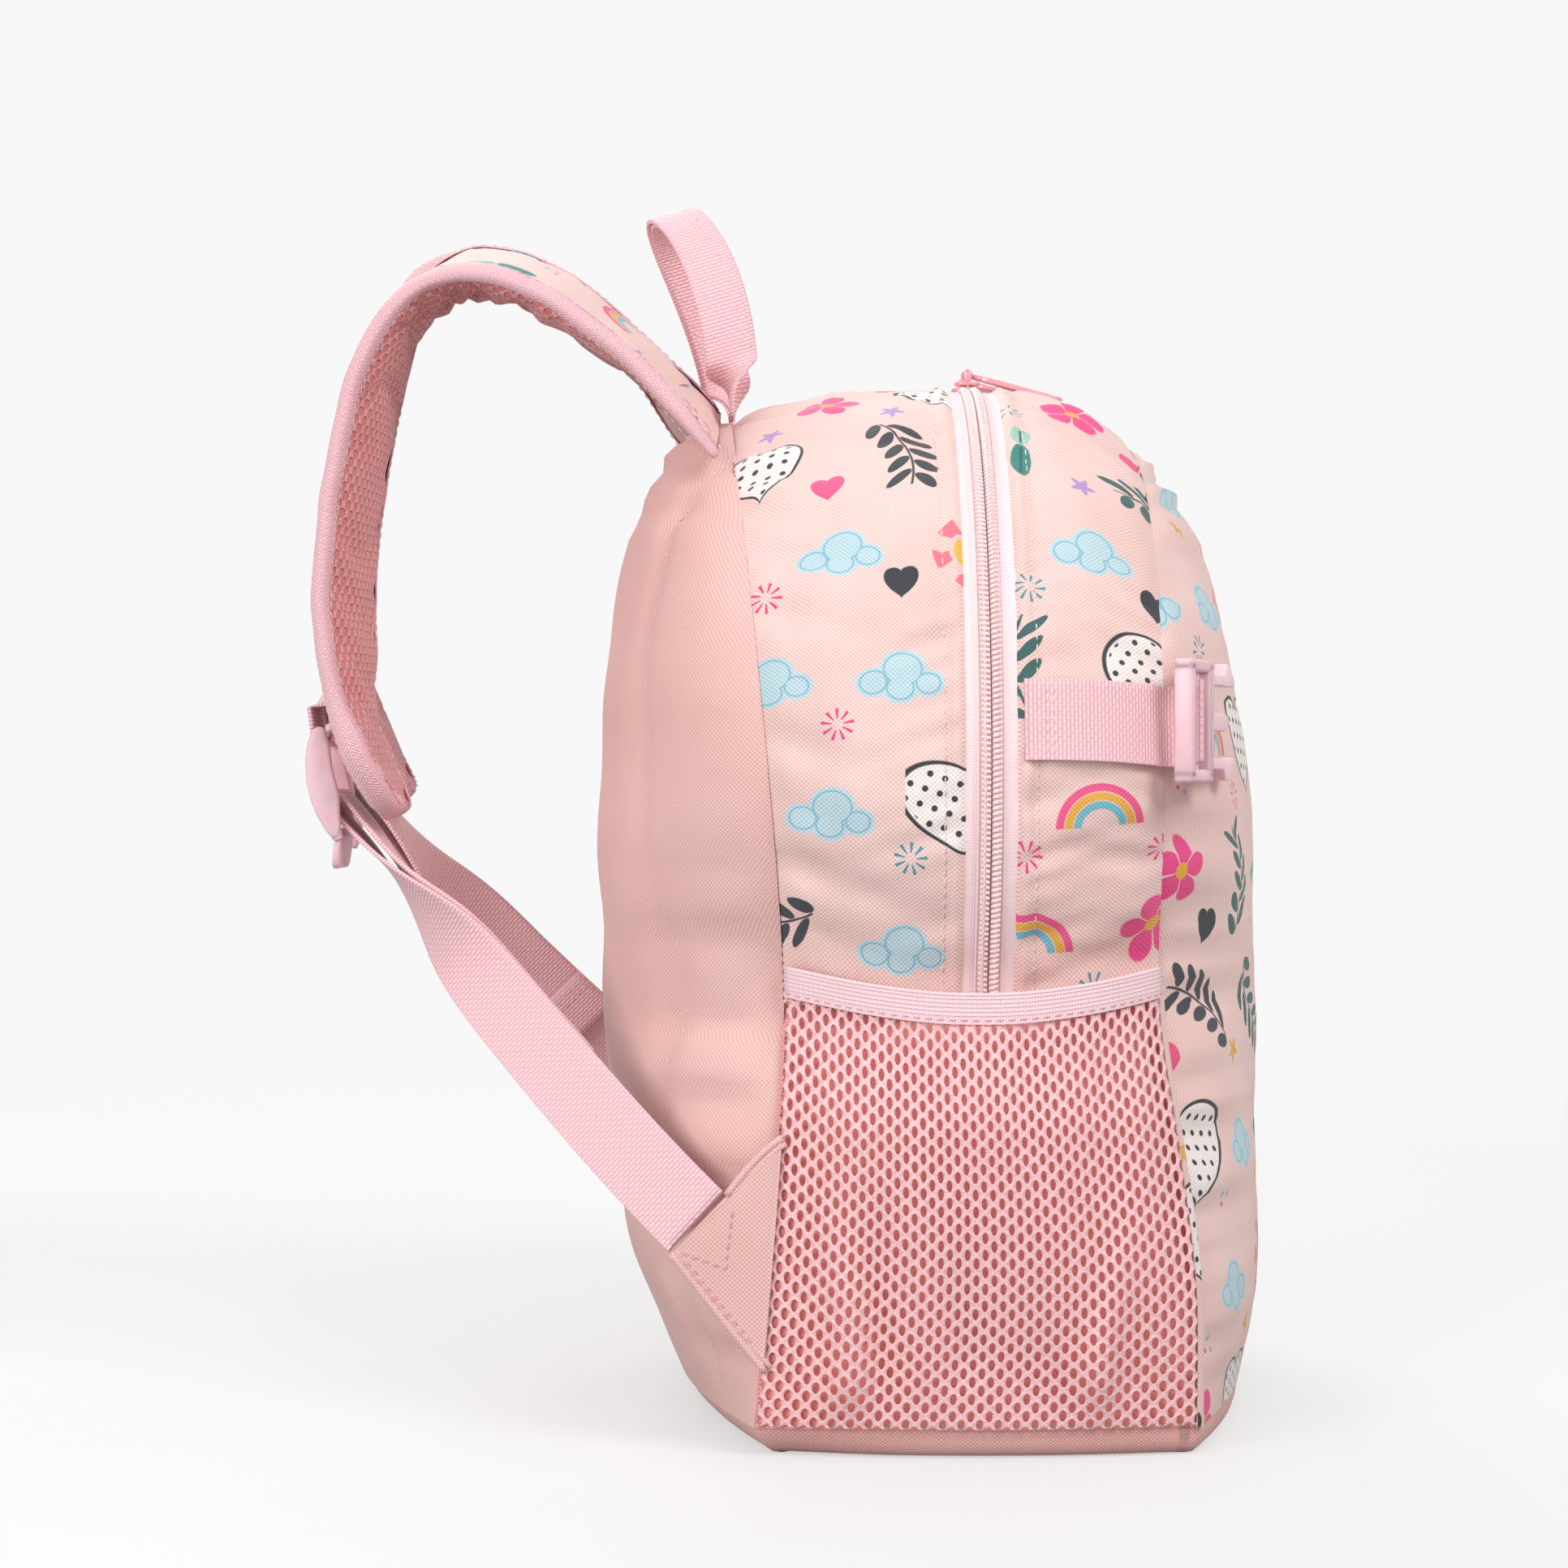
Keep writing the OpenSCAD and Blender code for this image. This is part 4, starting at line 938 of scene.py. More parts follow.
P = front_shape()
front = shell("front_panel_fabric", P, M_PRINT, 1.3)
over_fold(front, "printed_fabric", "front_panel_lower", "front_fold", "front_panel_upper")
for s, side in SIDES:
    L = P[:, 0 if s < 0 else -1]
    NL = np.stack([np.sign(L[:, 0]), -0.5 + 0 * L[:, 0], 0 * L[:, 0]], -1)
    row = stitches("seam_thread_front_" + side, L, NL, M_DARK, 1.0, 1.9, 0.24, 0.2)
    over_fold(row, "printed_fabric")


# side panels behind the pockets: plain pink fabric, painted a darker, more saturated coral that stands
# in for the shade and the pink light bounced between net and panel
def side_shape(s, nz=36, nf=25):
    z, f = np.meshgrid(np.linspace(BASE_H, 149, nz), np.linspace(0, 1, nf), indexing="ij")
    y = mix(seam_rear(z), seam_front(z), f)
    x = half_w(z, drop(y, z)) - 0.3 + waves(y, z, 51, 55) * 0.5 - 2.2 * ease((z - 128) / 10)
    return np.stack([s * x, y, z], -1)


for s, side in SIDES:
    o = shell("side_lining_" + side, side_shape(s), M_SIDE_BOUNCE, 1.0, flip=s > 0)
    put(o, "bag_body", "coral_fabric", "side_panel_" + side)


# base: a tray of plainer fabric with a rolled edge and a sewn line
def base_ring(inset, z):
    y0, y1 = float(seam_front(BASE_H)), float(seam_rear(BASE_H))
    us = sind(np.linspace(-90, 90, 49))
    ys = np.linspace(y0, y1, 26)[1:-1]
    side_w = lambda y: half_w(BASE_H, drop(y, BASE_H))
    high = BASE_H * np.ones(49)
    front = np.stack([us * float(side_w(y0)), front_y(us, high), 0 * us], -1)
    right = np.stack([side_w(ys), ys, 0 * ys], -1)
    rear = np.stack([-us * float(side_w(y1)), rear_y(-us, high), 0 * us], -1)
    R = np.concatenate([front, right, rear, (right * [-1, 1, 1])[::-1]])
    n = np.cross(unit(np.roll(R, -1, 0) - np.roll(R, 1, 0)), [0, 0, 1])
    # the rear corner of the foot is rounder than its sides
    roll = ease((R[:, 1:2] - 20) / 60) * 6 * max(0, 1 - z / 11) ** 1.6 * (inset < 10)
    R = R - n * (inset + 0.5 + roll)
    for _ in range(4):
        R = (np.roll(R, 1, 0) + 2 * R + np.roll(R, -1, 0)) / 4
    R[:, 2] = z
    return R


# inset and height of each ring, from the tray's upper edge to the middle of its foot
TRAY = np.array([
    (1.6, 11.0),
    (0.5, 10.2),
    (0.0, 8.8),
    (-0.1, 7.0),
    (0.1, 4.8),
    (0.9, 2.4),
    (2.6, 0.7),
    (5.5, 0.0),
    (30.0, 0.35),
    (52.0, 0.6),
])
B = np.array([base_ring(i, z) for i, z in TRAY])
n, m, _ = B.shape
uv = np.stack(np.broadcast_arrays(run(B[3])[None], (TRAY[:, 1] - TRAY[:, 0])[:, None]), -1)
foot = [(n - 1) * m + j for j in range(m)][::-1]
F = [*quads(n, m, loop_m=True)[:, ::-1], foot]
base = make("base_tray", B.reshape(-1, 3), F, M_BASE, uv.reshape(-1, 2))
put(base, "bag_body", "plain_fabric", "base_panel")
R = base_ring(0.0, 7.0)
RN = unit(np.cross(np.roll(R, -1, 0) - np.roll(R, 1, 0), [0, 0, 1]))
row = stitches("base_stitch", R, RN, M_PINK, 2.4, 1.3, 0.22, 0.0)
put(row, "bag_body", "plain_fabric")
NODES["base_board"].data.materials[0] = M_CARD


# ---------------------------------------------------------------- zip
def zip_frames(q, y, out):
    """Points beside the zip, directions along it and outward."""
    P = round_at(q, y, out)
    T = unit(np.gradient(P, axis=0))
    return P, T, square(unit(round_at(q, y, out + 1.0) - P), T)


Q_ZIP, TURN_PITCH = ARC_LEN + 17, 1.7
for part, s in (("rear", 1), ("front", -1)):
    q = np.linspace(-Q_ZIP, Q_ZIP, 260)
    P, T, N = zip_frames(q, ZIP_Y + s * 4.55, -0.9)
    across = np.tile(DEPTH, (len(P), 1))
    pieces = [ribbon("tape", P, across, N, 8.9, 0.8, M_TAPE, across=9)]
    # ribbed edges of the tape
    for dy, r in ((3.9, 0.34), (5.0, 0.22), (5.7, 0.2)):
        P, T, N = zip_frames(q, ZIP_Y + s * dy, -0.5)
        pieces.append(tube("cord", hoops(P, DEPTH, N, r, 6), M_TAPE))
    tape = join(part + "_tape_cloth", pieces)
    # each turn of the coil
    q = np.arange(-Q_ZIP + 1, Q_ZIP - 1, TURN_PITCH)
    P, T, N = zip_frames(q + (TURN_PITCH / 2 if s > 0 else 0), ZIP_Y + s * 1.72, 0.25)
    Y = np.tile(DEPTH, (len(q), 1))
    D = unit(Y * s + T * 0.22)
    coil = scatter("coil", P, D, unit(np.cross(N, D)), N, (1.62, 0.72, 1.0), M_COIL, 8, 6)
    P, T, N = zip_frames(q, ZIP_Y + s * 2.0, 1.2)
    sew = scatter("sew", P, unit(T + Y * 0.35 * s), Y, N, (0.75, 0.42, 0.3), M_PALE, 6, 5)
    coil = join(part + "_coil_turns", [coil, sew])
    if part == "rear":
        put(tape, "bag_body", "zip_tape", "rear_zip_tape")
        put(coil, "bag_body", "zip_coil", "rear_zip_coil")
    else:
        over_fold(tape, "zip_tape", "front_zip_tape")
        over_fold(coil, "zip_coil", "front_zip_coil")


def outline_plate(name, pts, z0, z1, mat, bevel):
    """A flat plate from an outline in the xy plane with rounded edges, built at the origin in mm."""
    n = len(pts)
    V = np.array([(x, y, z) for z in (z0, z1) for x, y in pts], float)
    walls = [[i, (i + 1) % n, n + (i + 1) % n, n + i] for i in range(n)]
    F = [list(range(n))[::-1], [n + i for i in range(n)], *walls]
    return bevelled(make(name, V, F, mat, V[:, :2]), bevel, 3)


def box_at(name, lo, hi, mat, bevel):
    (x0, y0, z0), (x1, y1, z1) = lo, hi
    return outline_plate(name, [(x0, y0), (x1, y0), (x1, y1), (x0, y1)], z0, z1, mat, bevel)


def place(o, M):
    """Moves a piece built at the origin (mm) by a 4x4 with its shift in mm."""
    M = np.array(M, float)
    M[:3, 3] *= MM
    o.data.transform(Matrix(M.tolist()))
    o.data.update()
    return o


def arc_place(a):
    a = math.radians(a)
    M = np.eye(4)
    M[:3, 0] = math.cos(a), 0, -math.sin(a)
    M[:3, 1] = 0, 1, 0
    M[:3, 2] = math.sin(a), 0, math.cos(a)
    M[:3, 3] = ARCH_R * math.sin(a), ZIP_Y, ARCH_Z + ARCH_R * math.cos(a)
    return M


def turn_x(deg, at=(0, 0, 0)):
    M = np.eye(4)
    c, s = cosd(deg), sind(deg)
    M[1:3, 1:3] = [[c, -s], [s, c]]
    M[:3, 3] = at
    return M


def rod(name, a, b, r, mat):
    """A round bar from a to b with softened ends."""
    a, b = np.array(a, float), np.array(b, float)
    x = unit(np.cross(unit(b - a), [0.3, 0.2, 1.0]))
    k = np.array([(0, 0.75), (0.04, 1.0), (0.96, 1.0), (1.0, 0.75)])
    return tube(name, hoops(a + (b - a) * k[:, :1], x, np.cross(unit(b - a), x), r * k[:, 1], 20), mat)


# the slider's length, its pin's height, the upper wing's foot; the puller's length and half width
SL, PIN_N, WING, PULL_L, PULL_R = 11.0, 5.7, 1.9, 30.5, 3.5
HALF_WING = [(-5.3, -2.6), (-3.6, -4.2), (0.5, -4.3), (4.8, -3.1), (5.4, -1.4)]
HALF_BAR = [(3.5, -7.5), (3.1, -5.6), (1.8, -4.3), (1.5, -2.0)]
wing = HALF_WING + [(x, -y) for x, y in HALF_WING[::-1]]
ang = np.linspace(-math.pi / 2, math.pi / 2, 15)
end = [(PULL_R * math.sin(b), -PULL_L - PULL_R * math.cos(b)) for b in ang]
bar = HALF_BAR + [(-x, y) for x, y in HALF_BAR[::-1]] + end
face = [(2.2, -10.5), (-2.2, -10.5)] + [(x * 0.62, -PULL_L + (y + PULL_L) * 0.62) for x, y in end]
ang = np.linspace(0, TAU, 28, endpoint=False)
out = np.stack([0 * ang, np.cos(ang), np.sin(ang)], -1)
for side, a in (("left", -4.2), ("right", 4.2)):
    parts = [
        outline_plate("w1", wing, WING, WING + 1.4, M_METAL, 0.45),
        outline_plate("w2", wing, -2.7, -1.5, M_METAL, 0.3),
        box_at("post", (-SL / 2 + 0.4, -0.4, -1.7), (-2.6, 0.4, WING + 0.2), M_METAL, 0.1),
    ]
    for x in (-SL / 2 + 0.3, SL / 2 - 2.0):
        lug = (x, -1.3, WING + 1.2), (x + 1.7, 1.3, PIN_N + 1.0)
        parts.append(box_at("lug", *lug, M_METAL, 0.5))
    parts.append(rod("pin", (-SL / 2 + 0.7, 0, PIN_N), (SL / 2 - 0.7, 0, PIN_N), 0.8, M_METAL))
    o = place(join("slider_body_" + side, parts), arc_place(a))
    put(o, "slider_" + side, "zip_metal", "slider_" + side)
    # puller: an eye on the pin, a neck, and a long flat bar with a raised rim and a round end
    tor = around(1.6 * out, out, 0.5 * np.cos(ang), np.array([1.0, 0, 0]), 1.5 * np.sin(ang))
    tor = tor.reshape(-1, 3)
    parts = [
        make("eye", tor, quads(28, 28, True, True), M_METAL, tor[:, :2]),
        outline_plate("bar", bar, -0.85, 0.85, M_METAL, 0.4),
        outline_plate("face", face, 0.6, 1.05, M_METAL, 0.15),
        outline_plate("back", face, -1.05, -0.6, M_METAL, 0.15),
    ]
    o = place(join("puller_bar_" + side, parts), arc_place(a) @ turn_x(15, (0, 0, PIN_N)))
    put(o, "puller_" + side, "zip_metal", "puller_" + side)


# ---------------------------------------------------------------- mesh pockets
def pocket_at(s, f, z, out=0.0, sag=True):
    """Point on the pocket's sheet at a share of its depth and a height."""
    f, z = np.broadcast_arrays(np.asarray(f, float), np.asarray(z, float))
    top = POCKET_H - 7 * sind(180 * f)
    t = np.clip((z - BASE_H) / (top - BASE_H), 0, 1.05)
    y = mix(seam_rear(z) - 1.0, seam_front(z) + 1.0, f)
    belly = power(sind(180 * np.clip(f, 0, 1)), 0.6) * (0.15 + 0.85 * t)
    off = 0.3 + POCKET_GAP * belly + POCKET_FRONT * ease((f - 0.55) / 0.45) * t
    # pleats near both lower corners, and slack folds under the elastic
    low, hem = ease((95 - z) / 70), top - BAND_H - z
    pleat = 4.6 * np.exp(-(((f - 0.14 - 0.07 * low) / 0.04) ** 2))
    pleat += 4.2 * np.exp(-(((f - 0.85 + 0.08 * low) / 0.038) ** 2))
    gather = 0.55 * np.sin(y * TAU / 13.5 + 1.2 * np.sin(y / 17))
    gather *= np.exp(-hem / 22) * np.clip(hem / 6, 0, 1)
    slack = waves(y * 1.4, z * 0.8 + y * 0.3, 61, 58) * 2.3 * power(sind(180 * f), 0.5)
    slack *= ease((z - BASE_H) / 25) * ease((top - z) / 35)
    wave = pleat * low * ease((z - BASE_H) / 18) + (gather + slack if sag else 0)
    x = half_w(z, drop(y, z)) + off + 0.5 + wave + out
    return np.stack([s * x, y, z], -1)


def net(s, name):
    """Knitted pocket net: a sheet with a staggered field of long oval holes."""
    rows, cols, width, half_hex = 47, 24, 128.0, 0.76
    hexa = np.array([(0.5, 0.24), (0.0, 0.76), (-0.5, 0.24), (-0.5, -0.24), (0.0, -0.76), (0.5, -0.24)])
    rim = np.stack([hexa, (hexa + np.roll(hexa, -1, 0)) / 2], 1).reshape(-1, 2)
    turn = np.arctan2(rim[:, 1] / half_hex, rim[:, 0] / 0.5)
    oval = np.stack([np.cos(turn), np.sin(turn)], -1)
    P, faces = [], []
    for r in range(rows):
        for c in range(cols + (r % 2 == 0)):
            k, fc = 24 * (len(faces) // 12), (c + (0.5 if r % 2 else 0.0)) / cols
            # holes are narrow in the middle of the sheet, rounder near its sides and foot
            foot = max(0, 1 - r / 14)
            wide = 0.165 + 0.03 * min(1, abs(fc - 0.5) * 2.2) + 0.03 * foot
            for ring in (rim, oval * (wide, 0.73 - 0.04 * foot)):
                P.append(ring / (cols, 1) + (fc, r + 0.5))
            faces += [(k + i, k + (i + 1) % 12, k + 12 + (i + 1) % 12, k + 12 + i) for i in range(12)]
    P = np.concatenate(P)
    f = np.clip(P[:, 0], 0, 1)
    top = POCKET_H - 7 * sind(180 * f) - BAND_H + 2
    z = mix(BASE_H + 1, top, np.clip(P[:, 1], 0, rows) / rows)
    faces = [q if s < 0 else q[::-1] for q in faces]
    o = make(name, pocket_at(s, f, z), faces, M_NET, np.stack([f * width, z], -1))
    o.modifiers.new("weld", "WELD").merge_threshold = 0.02 * MM
    m = o.modifiers.new("wall", "SOLIDIFY")
    m.thickness, m.offset = 0.6 * MM, 0
    return finish_mods(o)


def pocket_cheek(s, side):
    """The strip of printed fabric between the net's front edge and the front seam."""
    z = np.linspace(BASE_H, POCKET_H - 1, 34)[:, None]
    g = np.linspace(0, 1, 9)[None]
    A = pocket_at(s, 1.0 + 0 * z, z, 0.3, False)
    B = np.stack([s * (half_w(z, drop(seam_front(z), z)) - 1.5), seam_front(z) - 0.4, z], -1)
    P = A + (B - A) * g[..., None]
    P[..., 1] -= 1.4 * sind(180 * g)
    P = P if np.mean(normals(P)[..., 1]) < 0 else P[:, ::-1]
    return shell("pocket_cheek_" + side, P, M_PRINT, 0.8)


for s, side in SIDES:
    put(pocket_cheek(s, side), "bag_body", "printed_fabric")
    put(net(s, "pocket_net_" + side), "bag_body", "pocket_mesh", "mesh_pocket_" + side)
    f = np.linspace(0.0, 1.0, 61)
    top = POCKET_H - 7 * sind(180 * f)
    mid = pocket_at(s, f, top - BAND_H / 2 + 2.2, 0.9, False)
    up = pocket_at(s, f, top + 1, 0.9, False) - pocket_at(s, f, top - 6, 0.9, False)
    N = np.cross(np.gradient(mid, axis=0), up) * -s
    mid = mid + unit(N) * (waves(mid[:, 1], 0 * f, 71, 12, 4) * 0.35)[:, None]
    U, N = unit(up), unit(N)
    rows = [ribbon("band", mid, up, N, BAND_H + 0.2, 1.5, M_ELASTIC, across=15)]
    for k in (-2.0, -0.7, 0.6, 1.9, 3.2, 4.3):
        rows.append(tube("rib", hoops(mid + U * k + N * 0.74, U, N, 0.4, 6, 0.4), M_ELASTIC))
    put(join("pocket_band_" + side, rows), "bag_body", "elastic", "pocket_elastic_" + side)
    row = stitches("band_stitch_" + side, mid - U * 3.5, N, M_PINK, 2.4, 1.2, 0.26, 0.85)
    put(row, "bag_body", "elastic")


# ---------------------------------------------------------------- side webbing and buckles
SIDE_Z, SIDE_Y1, TURN = 227.5, -67.0, 27.0
SIDE_A = math.degrees(math.acos((SIDE_Z - ARCH_Z) / ARCH_R))
SIDE_Q = ARCH_R * math.radians(SIDE_A)
RING_R = 1.7


def buckle_frame(s):
    """Place of a side buckle: local x forward along the buckle, y across the webbing, z outward."""
    p = arch_at(SIDE_A, FRONT_Y, 0, np.array(SIDE_Z))
    x0 = -(float(p[0]) + RING_R + WEB_T + 0.1)
    M = np.eye(4)
    c, k = cosd(TURN), sind(TURN)
    M[:3, :3] = [[c, 0, -k], [-k, 0, -c], [0, 1, 0]]
    M[:3, 3] = x0, SIDE_Y1 - 1.5, SIDE_Z
    if s > 0:
        M = np.diag([-1, 1, 1, 1]) @ M
    return M


# the clip's boxes, as corners and bevel, its guide and one sprung arm with its barb
CLIP_BOXES = [
    ((-10.5, -19, -3), (10.8, -15, 3), 1.1),
    ((-10.5, 15, -3), (10.8, 19, 3), 1.1),
    ((-10.5, -18, -3), (-6.1, 18, 3), 1.0),
    ((6.4, -18, -3), (10.8, 18, 3), 1.0),
    ((7.4, -15, 2.7), (9.8, 15, 3.25), 0.2),
]
GUIDE = [(10, -3), (26, -2.9), (29.4, -1.5), (30, 0), (29.4, 1.5), (26, 2.9), (10, 3)]
ARM = [(10, 11), (10, 15), (15, 14.9), (24, 15.1), (25.5, 18.5), (28.5, 18.4)]
ARM += [(32.5, 15.2), (34.3, 13), (34.0, 11.2), (29, 11.1), (20, 11.4)]
SEWN_Y = -14.8
for s, side in SIDES:
    M = buckle_frame(s)
    ys = np.concatenate([np.linspace(SEWN_Y, FRONT_Y, 22), [-62.5, -64.6, -66.2]])
    beside = lambda dq: round_at(s * (SIDE_Q + dq) + 0 * ys, np.maximum(ys, FRONT_Y + 0.5), 1.15)
    C, up = beside(0), beside(-4) - beside(4)
    C[:, 1] = ys
    N = facing(np.cross(up, np.gradient(C, axis=0)), np.array([s, 0, 0.05]))
    hump = np.sin(np.clip((ys - SEWN_Y) / (-62 - SEWN_Y), 0, 1) * math.pi)
    C = C + unit(N) * (2.8 * hump)[:, None]
    # the webbing runs round the bar and its end lies under the first layer
    b = np.linspace(125, -150, 16)
    off = M[:3, 0] * cosd(b)[:, None] + M[:3, 2] * sind(b)[:, None]
    w_dir = M[:3, 1] * (1 if np.dot(M[:3, 1], up[-1]) > 0 else -1)
    C2 = np.concatenate([C[:-1], M[:3, 3] + off * (RING_R + WEB_T / 2)])
    W2 = np.concatenate([up[:-1], np.tile(w_dir, (16, 1))])
    N2 = np.concatenate([unit(N[:-1]), off])
    strap = ribbon("side_webbing_" + side, C2, W2, N2, WEB_W, WEB_T, M_WEB, across=15)
    put(strap, "front_flap", "webbing", "side_strap_" + side)
    rows = []
    for i in (4, 3):
        row = C[i] + unit(up[i]) * np.linspace(-11, 11, 12)[:, None]
        NN = np.tile(unit(N[4]), (12, 1))
        rows.append(stitches("row", row, NN, M_PALE, 2.2, 0.9, 0.28, 0.75))
    put(join("side_sewing_" + side, rows), "front_flap", "webbing")
    # male half of the buckle: frame, bars, centre guide and two sprung arms with barbs
    parts = [box_at("f", lo, hi, M_PLASTIC, r) for lo, hi, r in CLIP_BOXES]
    parts.append(rod("f", (0, -17, 0), (0, 17, 0), RING_R - 0.25, M_PLASTIC))
    parts.append(outline_plate("f", GUIDE, -1.6, 1.6, M_PLASTIC, 0.6))
    for arm in ([(x, -y) for x, y in ARM[::-1]], ARM):
        parts.append(outline_plate("f", arm, -2, 2, M_PLASTIC, 0.6))
    o = place(join("side_clip_" + side, parts), M)
    if s > 0:
        o.data.flip_normals()
    put(o, "side_buckle_" + side, "side_buckle_plastic", "side_buckle_" + side)


# ---------------------------------------------------------------- grab handle
# the handle's half width at its roots, its height and its lean
H_X, H_H, LEAN = 27.0, 78.0, 16.0
H_ROOT = np.array([0, REAR_Y + REAR_RISE, TOP - REAR_DROP - H_X * H_X / 2 / ARCH_R])


def handle_c(t):
    t = np.asarray(t, float)
    x = -H_X * cosd(180 * t) * (1 + 0.3 * sind(180 * t))
    return np.stack([x, 0 * t, H_H * power(sind(180 * t), 0.75)], -1)


t = np.linspace(0.002, 0.998, 181)
C = handle_c(t)
D = unit(handle_c(np.minimum(1, t + 0.01)) - handle_c(np.maximum(0, t - 0.01)))
K = ease((np.abs(cosd(180 * t)) - 0.98) / 0.0199)[:, None]
S = unit(DEPTH * (1 - K) + np.cross(DEPTH, D) * K)
NH = unit(np.cross(D, S))
R = np.array([[1, 0, 0], [0, cosd(-LEAN), -sind(-LEAN)], [0, sind(-LEAN), cosd(-LEAN)]])
K = K[:, 0]
up = C[:, 2:] / H_H
C, S, NH = H_ROOT + C @ R.T, S @ R.T, NH @ R.T
# the legs rise almost straight before they lean back
C[:, 1:2] += H_H * sind(LEAN) * (up**2.1 - up) + C[:, :1] * 0.19 * up
# folded webbing: two layers with a rounded fold on one side and edges on the other
wid = mix(16.5 - 1.5 * sind(180 * t), WEB_W - 6, K)
g = mix(0.85, 0.45, K)
lay, sew = [], []
for k in (1, -1):
    L, thin = C + NH * (g * k)[:, None] + S * (0.6 * k), mix(1.45, WEB_T / 2 + 0.1, K)
    lay.append(ribbon("l", L, S, NH * k, wid, thin, M_WEB, across=13))
fold = C - S * (wid / 2 - 0.4)[:, None]
lay.append(tube("l", hoops(fold, S, NH, mix(1.5, 0.7, K), 10), M_WEB))
put(join("handle_webbing", lay), "grab_handle", "webbing", "grab_handle")
legs = slice(14, -14)
for k in (1, -1):
    for x in (-0.28, 0.3):
        L = (C + S * (wid * x)[:, None])[legs]
        sew.append(stitches("h", L, (NH * k)[legs], M_PALE, 2.4, 1.0, 0.27, 1.62))
put(join("handle_stitches", sew), "grab_handle", "webbing")


# ---------------------------------------------------------------- padded straps
# middle of each strap's face from its root to its foot, and the tilt of its width in degrees
LEFT = [
    *[[-45, 78.6, 324.8, 22], [-45, 88, 336, 19], [-45, 103, 353, 16], [-45, 118, 367, 17]],
    *[[-45, 132, 377, 17], [-45, 148, 384, 17], [-45, 164, 385.5, 17], [-45, 178, 379, 15]],
    *[[-45, 189, 365, 12], [-45, 197, 345, 8], [-45, 202.5, 322, 4], [-45, 206.5, 297, 1]],
    *[[-45, 208.5, 272, 0], [-45, 207.5, 248, 0], [-45, 204, 228, 0], [-45, 198, 211, 0]],
    [-45, 189, 195.5, 0],
]
RIGHT = [
    *[[45, 78.6, 324.8, -22], [43.5, 89, 340, -17], [38, 105, 361, -6], [31, 122, 377, 0]],
    *[[27, 137, 388, 2], [24, 153, 394, 3], [21, 170, 395.5, 3], [20, 186, 389, 2]],
    *[[20, 198, 374, 1], [20, 206.5, 353, 0], [20, 212.5, 329, 0], [21, 216.5, 303, 0]],
    *[[22, 218.5, 277, 0], [24, 217, 253, 0], [27, 213, 234, 0], [31, 206, 217, 0]],
    [36, 197, 202, 0],
]
STRAP_W, COVER_T, FOAM_T, LINING_T, STRAP_N = 60.0, 1.2, 5.6, 1.8, 16
LOW = -(COVER_T + FOAM_T + LINING_T)
# where the padding begins along the strap, and the points across each of its faces
NECK, PAD_ROW = 1.35, 19


def along(P, s):
    """A smooth curve through the rows of P, s counting the rows."""
    P, s = np.asarray(P, float), np.asarray(s, float)
    n = len(P) - 1
    i = np.clip(np.floor(s).astype(int), 0, n - 1)
    t = (s - i)[..., None]
    a, b, c, d = P[np.maximum(0, i - 1)], P[i], P[i + 1], P[np.minimum(n, i + 2)]
    low = 2 * b + (c - a) * t + (2 * a - 5 * b + 4 * c - d) * t * t
    return 0.5 * (low + (3 * b - a - 3 * c + d) * t**3)


def strap_frame(P, s):
    """Points, directions down the strap, across it and outward."""
    n = len(P) - 1
    c = along(P, s)
    d = unit(along(P, np.minimum(n, s + 0.05))[..., :3] - along(P, np.maximum(0, s - 0.05))[..., :3])
    w0 = np.stack([cosd(c[..., 3]), 0 * c[..., 3], sind(c[..., 3])], -1)
    w = square(w0, d)
    # at its root the width follows the seam
    k = ease(s / 1.1)[..., None]
    w = unit(w0 * (1 - k) + w * k)
    # the hanging part is twisted a little, so that its lining shows from the side
    a = np.radians(8.0 * ease((s - 6.5) / 3.0) * (1 - ease((s - 12.6) / 1.6)))[..., None]
    a = a * (-1 if P[0][0] < 0 else 1)
    o = np.cross(w, d)
    w = w * np.cos(a) + o * np.sin(a)
    out = np.cross(w, d)
    sink = 2.4 * ease((s - 0.6) / 2.5) * (1 - ease((s - 12.8) / 1.4))
    return c[..., :3] - out * sink[..., None], d, w, out


def thick(s):
    """Share of the pad's full thickness: it is squeezed by its binding, except at its foot."""
    return mix(0.62, 1.0, ease((s - 13.3) / 1.5))


def strap_hw(s):
    r, h = (STRAP_N - s) * 17.5, STRAP_W / 2
    return np.where(r > h, h, h * np.sqrt(np.maximum(0.001, 1 - (1 - np.minimum(r, h) / h) ** 2)))


def places(me):
    out = np.empty(len(me.vertices) * 3)
    me.vertices.foreach_get("co", out)
    return out.reshape(-1, 3)


